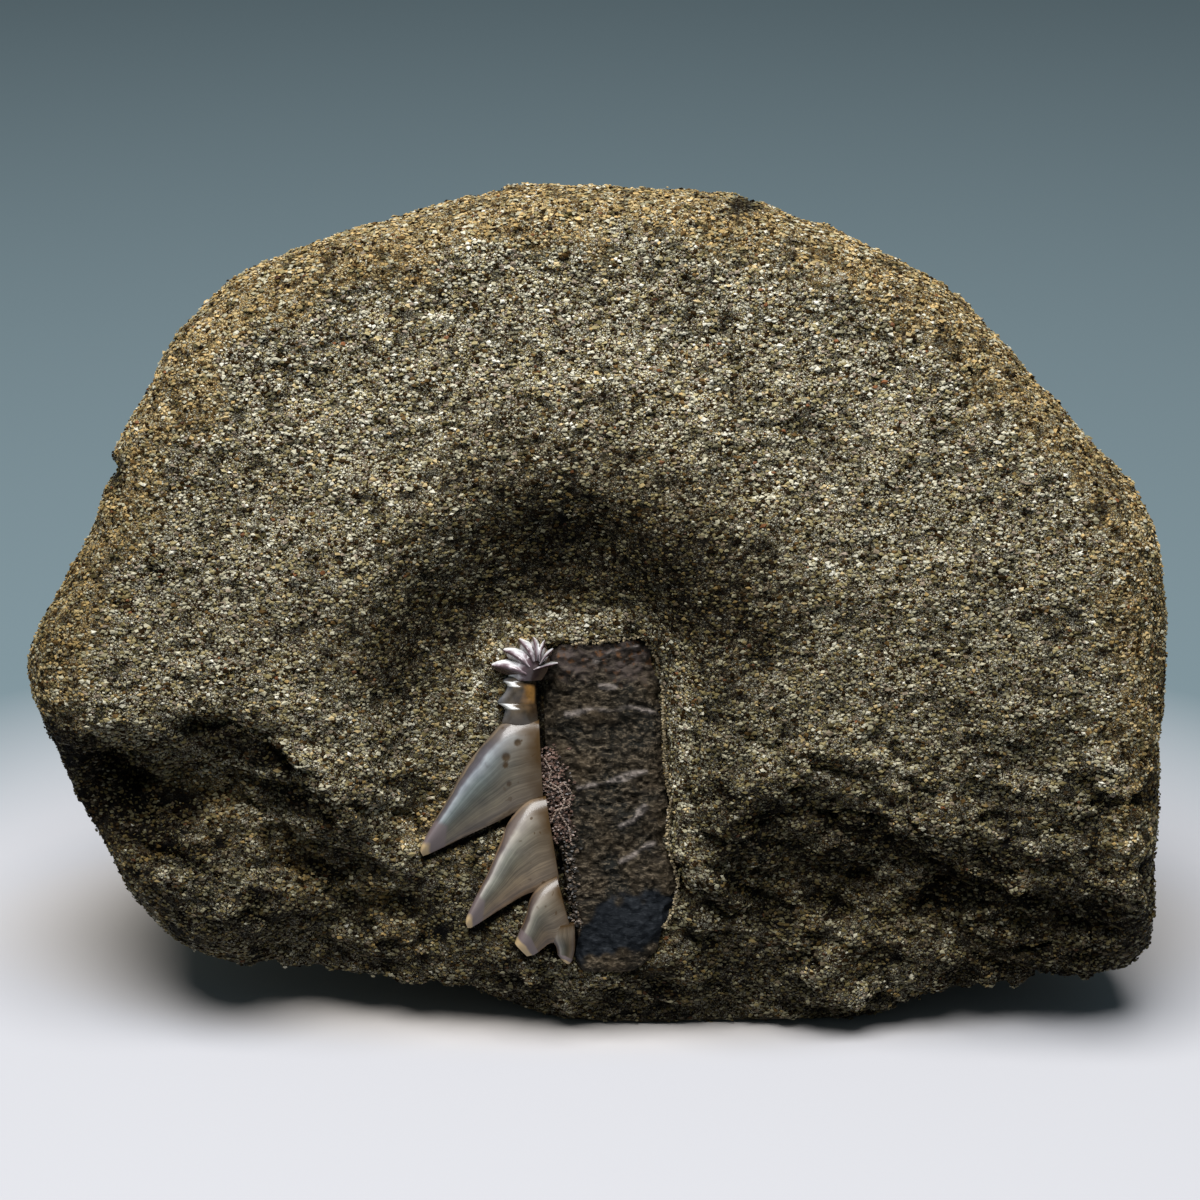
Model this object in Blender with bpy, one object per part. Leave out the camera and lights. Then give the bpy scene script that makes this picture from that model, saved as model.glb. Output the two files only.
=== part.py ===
"""Fossil sevengill shark tooth in the broken half of a sandstone nodule, which stands on a small flat spot.

Metres, +Z up. The broken face that holds the tooth looks towards -Y and leans back.
Shapes are worked out in the frame of that face, in millimetres: u to the right along it, v up along it and
n straight out of it, with the middle of the tooth at the origin and the tooth lying in the plane n = 0.
"""

import math
from typing import NamedTuple

import bmesh
import bpy
import numpy as np
from mathutils import Vector, noise

MM = 0.001

# How the stone stands
LEAN = math.radians(18.0)
TOOTH_MIDDLE = Vector((-0.8, -17.1, 18.1)) * MM

# The broken face, seen square on, anticlockwise from the right
FACE_OUTLINE = (
    (43.0, 7.4), (42.0, 21.0), (36.8, 28.0), (27.6, 36.9), (16.9, 42.9), (3.0, 45.4), (-11.0, 44.2),
    (-26.6, 38.0), (-34.0, 27.3), (-36.6, 19.8), (-40.2, 13.6), (-41.2, 8.8), (-37.3, -1.5), (-33.9, -8.2),
    (-27.8, -12.3), (-8.0, -15.8), (-1.2, -17.2), (20.1, -17.2), (24.4, -15.9), (40.8, -13.5), (42.4, -5.5),
)
FACE_POLE = np.array((1.0, 10.0))
OUTLINE_STEPS = 12

# The body of the stone
SEGMENTS = 90
FACE_RINGS = 22
EDGE_RINGS = 5
BACK_RINGS = 17
BACK_DEPTH = 35.0
BACK_FULLNESS = 2.3
TOP_EDGE_WIDTH = 4.5
BOTTOM_EDGE_WIDTH = 7.5
TOP_WIDEST = -2.0
BOTTOM_WIDEST = -7.0
SEAT_MIDDLE = 8.0
SEAT_HALF_WIDTH = 10.0
SEAT_RISE = 3.4
MOST_RISES = 1.5
UNDERSIDE_HEIGHTS = (-2.0, 10.0)
UNDERSIDE_DEPTHS = (4.0, 13.0)

# The upper layer of the face, and the hollow around the tooth where it has come away
LAYER = 4.5
HOLLOW_MIDDLE = (-2.5, 5.0)
HOLLOW_LEFT = 17.0
HOLLOW_RIGHT = 13.5
HOLLOW_UP = 20.0
HOLLOW_FLOOR = 0.5


class Ledge(NamedTuple):
    """A broken edge of the upper layer: its line, the width of the step, the hollow under it and the toe."""

    line: tuple
    width: float
    fade: float
    undercut: float
    undercut_below: float
    toe: float
    toe_below: float


LEFT_LEDGE = Ledge(
    line=((-46.0, 4.2), (-33.0, 5.6), (-28.0, 5.8), (-23.5, 4.0), (-19.5, -0.5), (-15.0, -4.5), (-9.0, -8.0)),
    width=3.4, fade=6.0, undercut=2.1, undercut_below=4.2, toe=2.0, toe_below=11.0,
)
RIGHT_LEDGE = Ledge(
    line=((9.0, -4.5), (12.0, -1.6), (14.5, -0.6), (20.0, -0.8), (27.0, -1.8), (31.0, -4.6), (46.0, -6.0)),
    width=7.5, fade=7.0, undercut=1.4, undercut_below=4.5, toe=0.6, toe_below=12.0,
)
UNDERCUT_SPREAD = 3.0
TOE_SPREAD = 4.5

# Lumps of the surface: height, and length of one lump
BROAD_LUMP = (1.0, 17.0)
SMALL_LUMP = (0.6, 4.6)
BACK_LUMP = (1.7, 13.0)
TOOTH_HALF_WIDTH = 9.0
TOOTH_HALF_LENGTH = 13.5
LUMP_MARGIN = 6.0

# Shallow hollows where flakes have come off the back: middle, radius and depth
SPALLS = (
    ((-24.0, 24.0, -22.0), 13.0, 2.6), ((20.0, 4.0, -32.0), 12.0, 2.2), ((31.0, 30.0, -16.0), 9.0, 1.8),
    ((-16.0, -2.0, -27.0), 10.0, 2.4),
)
SPALL_FLOOR = 0.35

# The tooth
GAP = 0.3
ENAMEL_EDGE = 0.4
SECTION_SIDES = 5
SPINE_SIDES = 5
FIRST_CUSP = (
    ((-4.6, 6.6), (-3.6, -0.6), 1.3), ((-6.1, 5.6), (-5.3, -1.2), 1.7),
    ((-8.8, 2.6), (-7.0, -1.8), 1.5), ((-10.1, 0.2), (-8.6, -2.5), 1.2),
    ((-11.4, -1.9), (-10.2, -3.3), 0.9), ((-12.2, -3.5), (-11.9, -4.1), 0.6),
)
SECOND_CUSP = (
    ((-3.6, -0.6), (-1.9, -6.3), 1.2), ((-5.3, -1.1), (-4.0, -6.9), 1.6), ((-6.4, -3.4), (-5.6, -7.6), 1.4),
    ((-7.3, -5.6), (-6.9, -8.4), 1.1), ((-8.2, -7.4), (-8.0, -9.2), 0.8), ((-8.9, -9.0), (-8.7, -9.5), 0.5),
)
THIRD_CUSP = (
    ((-2.6, -6.4), (-1.0, -10.2), 1.1), ((-4.0, -7.2), (-2.6, -10.7), 1.3),
    ((-4.6, -9.1), (-3.2, -11.1), 1.1), ((-5.2, -10.6), (-4.0, -11.6), 0.8),
)
FOURTH_STUB = (
    ((-2.4, -9.8), (-0.8, -9.6), 1.0), ((-2.3, -11.1), (-0.9, -11.3), 0.8),
    ((-1.9, -11.6), (-1.3, -11.7), 0.5),
)
CROWN_BASE = (
    ((-5.4, 9.9), (-2.8, 9.6), 1.3), ((-6.0, 8.9), (-3.4, 8.7), 1.5), ((-5.4, 8.2), (-3.4, 8.0), 1.1),
    ((-6.5, 7.3), (-3.4, 7.2), 1.5), ((-5.9, 6.4), (-3.3, 6.1), 1.2), ((-6.0, 3.5), (-3.3, 2.6), 1.4),
    ((-5.6, 0.2), (-2.9, 0.2), 1.3), ((-4.8, -3.0), (-2.3, -3.4), 1.3), ((-3.9, -6.4), (-1.8, -6.6), 1.2),
    ((-3.0, -9.2), (-1.0, -9.8), 1.0), ((-2.2, -11.0), (-0.8, -11.2), 0.7),
)
FAN_MIDDLE = (-3.9, 9.5)
SPINE_TIPS = ((-6.7, 10.0), (-5.8, 11.1), (-4.8, 11.8), (-3.9, 12.0), (-2.9, 11.9), (-2.2, 10.8))
SPINE_RADIUS = 0.55
SPINE_RISE = 0.9
SPINE_TAPER = ((0.0, 1.0), (0.55, 0.85), (1.0, 0.3))
ROOT_OUTLINE = (
    (4.7, 11.3), (3.9, 11.9), (1.6, 11.4), (-0.4, 11.3), (-2.4, 11.4), (-4.2, 8.7), (-4.4, 4.4), (-4.2, 1.6),
    (-3.9, -1.6), (-3.3, -3.4), (-2.8, -6.6), (-2.1, -8.4), (-1.4, -11.0), (-0.8, -12.6), (1.6, -13.2),
    (4.2, -12.7), (5.4, -11.2), (6.4, -8.2), (7.0, -6.6), (5.9, -3.5), (6.2, -0.5), (5.7, 3.2), (5.6, 8.6),
)
ROOT_TOP = -0.6
ROOT_CROWNING = 0.5
ROOT_CREST = 1.6
ROOT_SPREAD = 4.0
ROOT_STEPS = ((-4.0, 0.35), (-8.6, 0.45))
ROOT_STEP_SLANT = 0.25
ROOT_STEP_WIDTH = 0.8
ROOT_RINGS = ((1.0, 0.5), (0.93, 0.0), (0.6, 0.0), (0.25, 0.0))
ROOT_DEPTH = 3.2
CROWN_DEPTH = 1.6


def clear_scene():
    for obj in list(bpy.data.objects):
        bpy.data.objects.remove(obj)


def plain_material(name, colour, roughness):
    """A Principled material of one colour, which isn't a metal."""
    material = bpy.data.materials.new(name)
    material.use_nodes = True
    shader = material.node_tree.nodes["Principled BSDF"]
    shader.inputs["Base Color"].default_value = (*colour, 1.0)
    shader.inputs["Roughness"].default_value = roughness
    shader.inputs["Metallic"].default_value = 0.0
    return material


def face_frame():
    """The empty that carries everything: its X, Y and Z are u, v and n of the leaning face."""
    empty = bpy.data.objects.new("face_frame", None)
    empty.location = TOOTH_MIDDLE
    empty.rotation_euler = (math.pi / 2 - LEAN, 0.0, 0.0)
    bpy.context.scene.collection.objects.link(empty)
    return empty


def rise(value, start, end):
    """0 at start and before, 1 at end and after, smooth between."""
    part = np.clip((value - start) / (end - start), 0.0, 1.0)
    return part * part * (3.0 - 2.0 * part)


def bump(distance, spread):
    return np.exp(-((distance / spread) ** 2))


def smooth_loop(corners, steps):
    """A smooth closed curve through the corners, with this many points to each."""
    corners = np.array(corners)
    found = []
    for index in range(len(corners)):
        before, here, after, later = (corners[(index + k) % len(corners)] for k in (-1, 0, 1, 2))
        for t in np.arange(steps) / steps:
            slope = (after - before) * t
            curve = (2 * before - 5 * here + 4 * after - later) * t**2
            turn = (3 * here - before - 3 * after + later) * t**3
            found.append(here + 0.5 * (slope + curve + turn))
    return np.array(found)


def spaced_evenly(loop, count):
    """This many points at equal steps along a closed curve."""
    loop = np.vstack([loop, loop[:1]])
    run = np.concatenate([[0.0], np.cumsum(np.linalg.norm(np.diff(loop, axis=0), axis=1))])
    steps = np.arange(count) / count * run[-1]
    return np.column_stack([np.interp(steps, run, loop[:, axis]) for axis in (0, 1)])


def below_ledge(u, v, ledge):
    """How far a point lies under the line of a ledge, and 1 along the ledge, fading past its end."""
    line = np.array(ledge.line)
    before, level, after = np.interp((u - ledge.width / 2, u, u + ledge.width / 2), line[:, 0], line[:, 1])
    distance = (level - v) * ledge.width / math.hypot(ledge.width, after - before)
    start, end = line[0, 0], line[-1, 0]
    return distance, rise(u, start - ledge.fade, start) * rise(-u, -end - ledge.fade, -end)


def hollow(u, v):
    """1 on the floor of the hollow around the tooth, 0 on the face outside it. It is open at the bottom."""
    across = u - HOLLOW_MIDDLE[0]
    width = HOLLOW_RIGHT if across > 0 else HOLLOW_LEFT
    reach = math.hypot(across / width, max(v - HOLLOW_MIDDLE[1], 0.0) / HOLLOW_UP)
    return 1.0 - rise(reach, HOLLOW_FLOOR, 1.0)


def face_height(u, v):
    """Height n of the broken face: its upper layer, the hollow, and the two ledges with their undercuts."""
    layer = 1.0 - hollow(u, v)
    height = 0.0
    for ledge in (LEFT_LEDGE, RIGHT_LEDGE):
        distance, part = below_ledge(u, v, ledge)
        layer *= 1.0 - part * rise(distance, 0.0, ledge.width)
        height -= ledge.undercut * part * bump(distance - ledge.undercut_below, UNDERCUT_SPREAD)
        height += ledge.toe * part * bump(distance - ledge.toe_below, TOE_SPREAD)
    return height + LAYER * layer


def side_values(direction):
    """Width of the rounded edge, and height n of the widest line, where a ray from the pole reaches it."""
    down = rise(-direction[1], 0.1, 0.8)
    width = TOP_EDGE_WIDTH + (BOTTOM_EDGE_WIDTH - TOP_EDGE_WIDTH) * down
    return width, TOP_WIDEST + (BOTTOM_WIDEST - TOP_WIDEST) * down


def profile(rim):
    """Points from the pole of the face over one point of the outline to the pole of the back."""
    out = np.array(rim) - FACE_POLE
    reach = np.linalg.norm(out)
    out /= reach
    width, widest = side_values(out)
    points = []
    for part in np.arange(1, FACE_RINGS + 1) / FACE_RINGS:
        u, v = FACE_POLE + out * (reach - width) * part
        points.append((u, v, face_height(u, v)))
    edge = points[-1][2]
    for turn in np.arange(1, EDGE_RINGS + 1) / EDGE_RINGS * math.pi / 2:
        u, v = FACE_POLE + out * (reach - width + width * math.sin(turn))
        points.append((u, v, edge + (widest - edge) * (1.0 - math.cos(turn))))
    for turn in np.arange(1, BACK_RINGS) / BACK_RINGS * math.pi / 2:
        share = math.cos(turn) ** (2 / BACK_FULLNESS)
        depth = math.sin(turn) ** (2 / BACK_FULLNESS)
        u, v = FACE_POLE + out * reach * share
        points.append((u, v, widest - (BACK_DEPTH + widest) * depth))
    return points


def lift_beside_seat(u, v, n):
    """Draws the underside up beside the flat spot, so that the stone touches down only there."""
    low = rise(-v, *UNDERSIDE_HEIGHTS) * rise(-n, *UNDERSIDE_DEPTHS)
    beside = max(abs(u - SEAT_MIDDLE) / SEAT_HALF_WIDTH - 1.0, 0.0)
    return v + SEAT_RISE * low * min(beside, MOST_RISES)


def stone_mesh():
    """The closed skin of the stone before its lumps: rings of points around its face, rim and back."""
    bm = bmesh.new()
    rims = spaced_evenly(smooth_loop(FACE_OUTLINE, OUTLINE_STEPS), SEGMENTS)
    columns = []
    for rim in rims:
        points = [(u, lift_beside_seat(u, v, n), n) for u, v, n in profile(rim)]
        columns.append([bm.verts.new(Vector(point) * MM) for point in points])
    front = bm.verts.new(Vector((*FACE_POLE, face_height(*FACE_POLE))) * MM)
    back = bm.verts.new(Vector((*FACE_POLE, -BACK_DEPTH)) * MM)
    for column, following in zip(columns, columns[1:] + columns[:1]):
        bm.faces.new((front, column[0], following[0]))
        bm.faces.new((back, following[-1], column[-1]))
        for near in range(len(column) - 1):
            bm.faces.new((column[near], column[near + 1], following[near + 1], following[near]))
    bmesh.ops.recalc_face_normals(bm, faces=bm.faces)
    return bm


def calm_near_tooth(u, v, n):
    """0 around the tooth, 1 away from it and behind the face."""
    away = max(abs(u) - TOOTH_HALF_WIDTH, abs(v) - TOOTH_HALF_LENGTH, -n - LAYER)
    return rise(away, 0.0, LUMP_MARGIN)


def add_lumps(bm):
    """Pushes the skin in and out along its normals, more on the weathered back than on the broken face."""
    bm.normal_update()
    shifts = []
    for vert in bm.verts:
        place = vert.co / MM
        behind = rise(-place.z, 0.0, 12.0)
        size = noise.noise(place / BROAD_LUMP[1]) * BROAD_LUMP[0] * (1.0 - behind)
        size += noise.noise(place / BACK_LUMP[1]) * BACK_LUMP[0] * behind
        size += noise.fractal(place / SMALL_LUMP[1], 1.0, 2.0, 2) * SMALL_LUMP[0]
        for middle, radius, depth in SPALLS:
            size -= depth * rise(-(place - Vector(middle)).length, -radius, -radius * SPALL_FLOOR)
        shifts.append(vert.normal * size * calm_near_tooth(*place) * MM)
    for vert, shift in zip(bm.verts, shifts):
        vert.co += shift


def cut_flat_spot(bm):
    """Cuts the stone level with the ground and closes the cut with the flat that it stands on."""
    ground = Vector((0.0, math.cos(LEAN), math.sin(LEAN)))
    foot = ground * -TOOTH_MIDDLE.z
    geometry = list(bm.verts) + list(bm.edges) + list(bm.faces)
    bmesh.ops.bisect_plane(bm, geom=geometry, plane_co=foot, plane_no=ground, clear_inner=True)
    rim = [edge for edge in bm.edges if edge.is_boundary]
    bmesh.ops.holes_fill(bm, edges=rim, sides=0)
    bmesh.ops.triangulate(bm, faces=bm.faces)
    bmesh.ops.recalc_face_normals(bm, faces=bm.faces)


def add_object(name, bm, parent, materials):
    """A named object for a mesh in the frame of the face."""
    mesh = bpy.data.meshes.new(name)
    bm.to_mesh(mesh)
    bm.free()
    obj = bpy.data.objects.new(name, mesh)
    obj.parent = parent
    for material in materials:
        mesh.materials.append(material)
    bpy.context.scene.collection.objects.link(obj)
    return obj


def hide(obj):
    """Marks a cutter or a shape that another one takes in."""
    obj.hide_render = True
    obj.display_type = "WIRE"


def close_rings(bm, rings):
    """Joins rings of points in order and closes both ends."""
    rows = [[bm.verts.new(Vector(point) * MM) for point in ring] for ring in rings]
    for row, following in zip(rows, rows[1:]):
        for index in range(len(row)):
            after = (index + 1) % len(row)
            bm.faces.new((row[index], row[after], following[after], following[index]))
    bm.faces.new(rows[0])
    bm.faces.new(rows[-1])
    bmesh.ops.triangulate(bm, faces=bm.faces)
    bmesh.ops.recalc_face_normals(bm, faces=bm.faces)


def lens_ring(first, second, top, low, grow):
    """A section of a blade between two points of its edges: a rounded back above and a flatter one below."""
    first = np.array(first)
    second = np.array(second)
    side = (second - first) / np.linalg.norm(second - first) * grow
    above = top + grow - ENAMEL_EDGE
    below = low + grow + ENAMEL_EDGE
    ring = []
    for turn in np.arange(2 * SECTION_SIDES) / SECTION_SIDES * math.pi:
        share = (1.0 - math.cos(turn)) / 2
        u, v = (first - side) + (second - first + 2 * side) * share
        reach = above if turn < math.pi else below
        ring.append((u, v, ENAMEL_EDGE + reach * math.sin(turn)))
    return ring


def blade(stations, depth, grow):
    """A cusp or the base of the crown: sections between pairs of edge points, each with its own height."""
    bm = bmesh.new()
    rings = [lens_ring(first, second, top, depth * top, grow) for first, second, top in stations]
    if grow:
        for end, inner in ((0, 1), (-1, -2)):
            reach = np.array(rings[end]).mean(axis=0) - np.array(rings[inner]).mean(axis=0)
            step = reach / np.linalg.norm(reach) * grow
            rings[end] = [tuple(np.array(point) + step) for point in rings[end]]
    close_rings(bm, rings)
    return bm


def spine(tip, grow):
    """One small pointed spine of the fan, from its middle out to the tip."""
    bm = bmesh.new()
    start = np.array((*FAN_MIDDLE, SPINE_RISE))
    end = np.array((*tip, ENAMEL_EDGE))
    run = (end - start) / np.linalg.norm(end - start)
    end = end + run * grow
    across = np.cross(run, (0.0, 0.0, 1.0))
    across /= np.linalg.norm(across)
    over = np.cross(across, run)
    rings = []
    for share, size in SPINE_TAPER:
        radius = SPINE_RADIUS * size + grow
        turns = np.arange(SPINE_SIDES) / SPINE_SIDES * 2 * math.pi
        middle = start + (end - start) * share
        rings.append([tuple(middle + radius * (across * math.cos(a) + over * math.sin(a))) for a in turns])
    close_rings(bm, rings)
    return bm


def root_height(u, v):
    """Top of the root: slightly crowned, and stepped down towards its lower end."""
    height = ROOT_TOP + ROOT_CROWNING * bump(u - ROOT_CREST, ROOT_SPREAD)
    for level, drop in ROOT_STEPS:
        height -= drop * rise(level - v + ROOT_STEP_SLANT * u, 0.0, ROOT_STEP_WIDTH)
    return height


def grown_outline(outline, grow):
    """An anticlockwise outline moved outwards by a gap, square to its own run."""
    outline = np.array(outline)
    along = np.roll(outline, -1, axis=0) - np.roll(outline, 1, axis=0)
    along /= np.linalg.norm(along, axis=1)[:, None]
    return outline + np.column_stack([along[:, 1], -along[:, 0]]) * grow


def root(grow):
    """The slab of the root, straight at its sides, with rings over its top. Its pocket is open to the front."""
    outline = grown_outline(ROOT_OUTLINE, grow)
    rings = [[(u, v, -ROOT_DEPTH - grow) for u, v in outline]]
    if grow:
        rings.append([(u, v, LAYER) for u, v in outline])
    else:
        middle = outline.mean(axis=0)
        for share, drop in ROOT_RINGS:
            inset = middle + (outline - middle) * share
            rings.append([(u, v, root_height(u, v) - drop) for u, v in inset])
    bm = bmesh.new()
    close_rings(bm, rings)
    return bm


def tooth_forms(grow):
    """The forms that the tooth is made of, the root first, grown by a gap for the pocket that holds them."""
    forms = [root(grow)]
    forms.append(blade(CROWN_BASE, CROWN_DEPTH, grow))
    forms += [blade(cusp, CROWN_DEPTH, grow) for cusp in (FIRST_CUSP, SECOND_CUSP, THIRD_CUSP, FOURTH_STUB)]
    forms += [spine(tip, grow) for tip in SPINE_TIPS]
    return forms


def unite(base, others):
    """Joins the other shapes to the base, which keeps its name."""
    for other in others:
        hide(other)
        join = base.modifiers.new("join_" + other.name, "BOOLEAN")
        join.operation = "UNION"
        join.object = other


def build_forms(name, grow, parent, materials):
    """The forms as one solid. The root has the second material and the crown the first."""
    objects = []
    for index, bm in enumerate(tooth_forms(grow)):
        for face in bm.faces:
            face.material_index = 1 if index == 0 else 0
        objects.append(add_object(name if index == 0 else f"{name}_form_{index}", bm, parent, materials))
    unite(objects[0], objects[1:])
    return objects[0]


def build_tooth(parent):
    enamel = plain_material("enamel", (0.17, 0.16, 0.14), 0.25)
    root_bone = plain_material("root_bone", (0.045, 0.038, 0.03), 0.6)
    return build_forms("tooth", 0.0, parent, (enamel, root_bone))


def build_matrix(parent):
    """The stone, with a pocket around the tooth that leaves a small gap."""
    sandstone = plain_material("sandstone", (0.15, 0.13, 0.09), 0.95)
    bm = stone_mesh()
    add_lumps(bm)
    cut_flat_spot(bm)
    stone = add_object("sandstone_matrix", bm, parent, (sandstone,))
    pocket = build_forms("pocket", GAP, parent, (sandstone, sandstone))
    hide(pocket)
    cut = stone.modifiers.new("tooth_pocket", "BOOLEAN")
    cut.operation = "DIFFERENCE"
    cut.solver = "MANIFOLD"
    cut.object = pocket
    return stone


def main():
    clear_scene()
    frame = face_frame()
    build_matrix(frame)
    build_tooth(frame)


main()
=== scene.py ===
"""The looks of a fossil sevengill shark tooth that lies in the broken half of a sandstone nodule.

The tooth is modelled in the frame of the broken face, in millimetres: u to the right along the face, v up
along it and n straight out of it. The stone starts from the solid of the frame, and sand grains cover it.
"""

import math

import bpy
import numpy as np
from bpy.props import FloatProperty, FloatVectorProperty, IntProperty, PointerProperty
from bpy.types import Operator, Panel, PropertyGroup
from mathutils import Matrix, Vector, noise
from mathutils.bvhtree import BVHTree


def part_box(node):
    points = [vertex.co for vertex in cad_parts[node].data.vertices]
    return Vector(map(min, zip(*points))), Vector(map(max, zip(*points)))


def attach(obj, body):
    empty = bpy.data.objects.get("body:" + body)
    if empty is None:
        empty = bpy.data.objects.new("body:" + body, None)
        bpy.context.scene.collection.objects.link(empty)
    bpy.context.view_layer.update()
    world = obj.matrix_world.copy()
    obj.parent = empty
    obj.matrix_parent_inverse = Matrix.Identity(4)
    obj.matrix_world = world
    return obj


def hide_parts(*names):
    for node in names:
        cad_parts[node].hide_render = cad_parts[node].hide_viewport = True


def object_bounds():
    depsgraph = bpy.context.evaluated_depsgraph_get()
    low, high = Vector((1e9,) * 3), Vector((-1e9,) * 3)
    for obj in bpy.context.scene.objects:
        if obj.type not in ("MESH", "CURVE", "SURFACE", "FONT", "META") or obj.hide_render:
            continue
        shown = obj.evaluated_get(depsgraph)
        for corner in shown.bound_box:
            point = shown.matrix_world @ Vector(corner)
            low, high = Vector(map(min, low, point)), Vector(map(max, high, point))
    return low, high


bl_info = {
    "name": "Fossil shark tooth in sandstone",
    "version": (1, 0, 0),
    "blender": (4, 5, 0),
    "location": "3D View > Sidebar > Fossil",
    "description": "Models a fossil sevengill shark tooth in its half of a sandstone nodule",
    "category": "Object",
}

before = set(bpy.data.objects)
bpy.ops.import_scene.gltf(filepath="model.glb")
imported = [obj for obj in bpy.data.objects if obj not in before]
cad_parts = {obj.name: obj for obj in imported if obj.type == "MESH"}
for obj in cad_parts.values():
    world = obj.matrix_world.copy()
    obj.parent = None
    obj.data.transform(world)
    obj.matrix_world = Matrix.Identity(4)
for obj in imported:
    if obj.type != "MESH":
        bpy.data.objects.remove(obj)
CAD_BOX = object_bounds()
MM = 0.001

# The frame of the broken face, taken from the solid of the tooth
LEAN = math.radians(18.0)
TOOTH_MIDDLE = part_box("tooth")[0] + Vector((12.2, 4.23, 13.54)) * MM
FACE_TURN = Matrix.Rotation(math.radians(90.0) - LEAN, 4, "X")
FACE = Matrix.Translation(TOOTH_MIDDLE) @ FACE_TURN @ Matrix.Scale(MM, 4)
OUT_OF_FACE = FACE_TURN.to_3x3() @ Vector((0.0, 0.0, 1.0))

# Lines on the broken face, as (u, v)
RIND_LINE = (
    (-41.0, 9.0), (-36.6, 19.8), (-34.0, 27.3), (-26.6, 38.0), (-11.0, 44.2), (3.0, 45.4), (16.9, 42.9),
    (27.6, 36.9), (36.8, 28.0), (42.0, 21.0), (43.0, 7.4), (42.6, -3.0),
)
LAYERED_LINE = ((11.0, -5.0), (19.0, -5.0), (27.0, -7.0), (35.0, -10.0), (42.0, -10.0))

# Gashes of the lower left, and the notch in the left edge
UPPER_GASH = ((-40.0, 4.6), (-37.0, 3.0), (-33.6, 1.6))
LOWER_GASH = ((-34.2, -2.9), (-31.0, -3.5), (-27.0, -3.5))
LONG_GASH = ((-28.4, 5.5), (-25.8, 4.8), (-24.2, 3.9), (-22.2, 3.0))
SHORT_GASH = ((-22.8, 0.8), (-20.6, -0.2), (-18.8, -1.2))
EDGE_NOTCH = ((-35.8, 24.8), (-34.4, 24.2))

# Dark bands of the face, mostly painted shade: line, half width and strength. The surface is rough along the
# jagged ones.
# Painted shade of the hollow above the tooth, partly a darker stone
HOLLOW_SHADE_AND_STAIN = (
    (((-13.5, 11.5), (-9.5, 15.5), (-5.5, 18.5)), 4.2, 0.66),
    (((-4.8, 20.2), (0.8, 20.2), (6.0, 18.0), (9.8, 14.5)), 5.4, 0.87),
    (((-8.5, 14.8), (-3.0, 16.4), (3.5, 16.2), (7.5, 14.0)), 2.3, 0.78),
)
# Painted shade under the ledges, in the gashes and on the undercut lower right
JAGGED_SHADE = (
    (UPPER_GASH, 2.0, 1.0), (((-38.0, -0.4), (-34.0, -0.6), (-30.5, -1.6)), 2.1, 0.95),
    (LOWER_GASH, 0.75, 1.0), (LONG_GASH, 0.9, 1.0), (SHORT_GASH, 0.8, 0.9), (LAYERED_LINE, 5.0, 0.5),
)
# Painted shade in the notch of the rim, and a dark speck on the rim
EDGE_MARKS = ((((11.3, 43.7), (12.2, 43.9)), 0.8, 1.0), (EDGE_NOTCH, 1.0, 0.9))
SHADE_AND_STAINS = HOLLOW_SHADE_AND_STAIN + JAGGED_SHADE + EDGE_MARKS
SHARP_WIDTH = 4.0  # dark bands narrower than this have a sharp and ragged edge

# Painted light and painted shade, lighter and darker bands: line, half width and gain, the lip round the
# tooth first
GAINS = (
    (((-8.6, 7.2), (-7.6, 10.6), (-6.0, 12.4), (-3.4, 13.2), (0.0, 12.8), (4.8, 13.1), (6.9, 11.6),
      (7.0, 6.0), (7.2, 0.0), (7.4, -3.0), (8.2, -6.0)), 0.9, 0.75),
    (((-39.5, 8.0), (-34.0, 7.0), (-29.0, 8.0)), 2.2, 0.35),
    (((-29.5, -0.2), (-26.0, -1.2), (-23.5, -2.4)), 2.4, 0.5),
    (((-18.0, 5.5), (-14.5, 3.0), (-12.0, -1.0)), 3.6, 0.3),
    (((10.0, 9.0), (10.5, 0.0)), 2.8, -0.25),
    (((-36.0, -2.0), (-28.0, -7.0), (-20.0, -9.0)), 5.5, -0.22),
    (((15.0, -6.5), (22.0, -8.5), (30.0, -11.0)), 3.4, 0.35),
    (((40.0, -3.0), (41.5, 8.0), (41.0, 20.0)), 3.0, 0.5),
    (((-24.0, 30.0), (0.0, 36.0), (20.0, 30.0)), 12.0, 0.08),
)

# Outlines that the relief leaves alone, at the lower left and the lower right
QUIET_LINES = (
    ((-41.8, 12.0), (-41.2, 6.0), (-38.9, 2.2), (-36.2, -3.0), (-33.5, -8.0), (-30.5, -10.8), (-26.0, -12.3)),
    ((42.8, 20.0), (43.0, 8.0), (42.9, -5.0), (41.8, -10.0), (40.6, -13.0)),
)

# How far the underside of the lower right is lifted, where along the face and over what half width
LIFT, LIFTED_AT, LIFTED_WIDTH = 1.5, 36.5, 4.5

# Clean dark gaps beside the tooth, with painted shadow under the cusps' edges: line and half width
GAPS = (
    (((-3.35, 9.0), (-3.3, 6.0), (-3.15, 2.4)), 0.36),
    (((-2.5, -1.0), (-1.8, -3.2), (-1.5, -5.4)), 0.3),
    (((-1.3, -6.0), (-0.7, -8.5), (-0.3, -10.8)), 0.3),
    (((-12.0, -4.35), (-9.2, -3.15), (-7.7, -2.45), (-6.3, -1.8), (-5.3, -1.3), (-4.5, -1.0)), 0.22),
    (((-8.6, -9.75), (-6.8, -8.75), (-5.7, -8.05), (-4.6, -7.4), (-3.6, -7.0)), 0.22),
    (((-5.4, -11.0), (-4.4, -11.9), (-3.5, -11.4)), 0.18),
)

# Lightness down the face against v, and down the back against the height, both in millimetres: painted shade
# towards the bottom, partly a darker stone low on the face
FACE_LIGHTNESS = (
    (-14.0, 0.42), (-8.0, 0.45), (-2.0, 0.51), (4.0, 0.56), (12.0, 0.67), (20.0, 0.78), (30.0, 0.93),
)
BACK_LIGHTNESS = ((0.0, 0.30), (8.0, 0.42), (20.0, 0.6), (40.0, 0.75))

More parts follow.
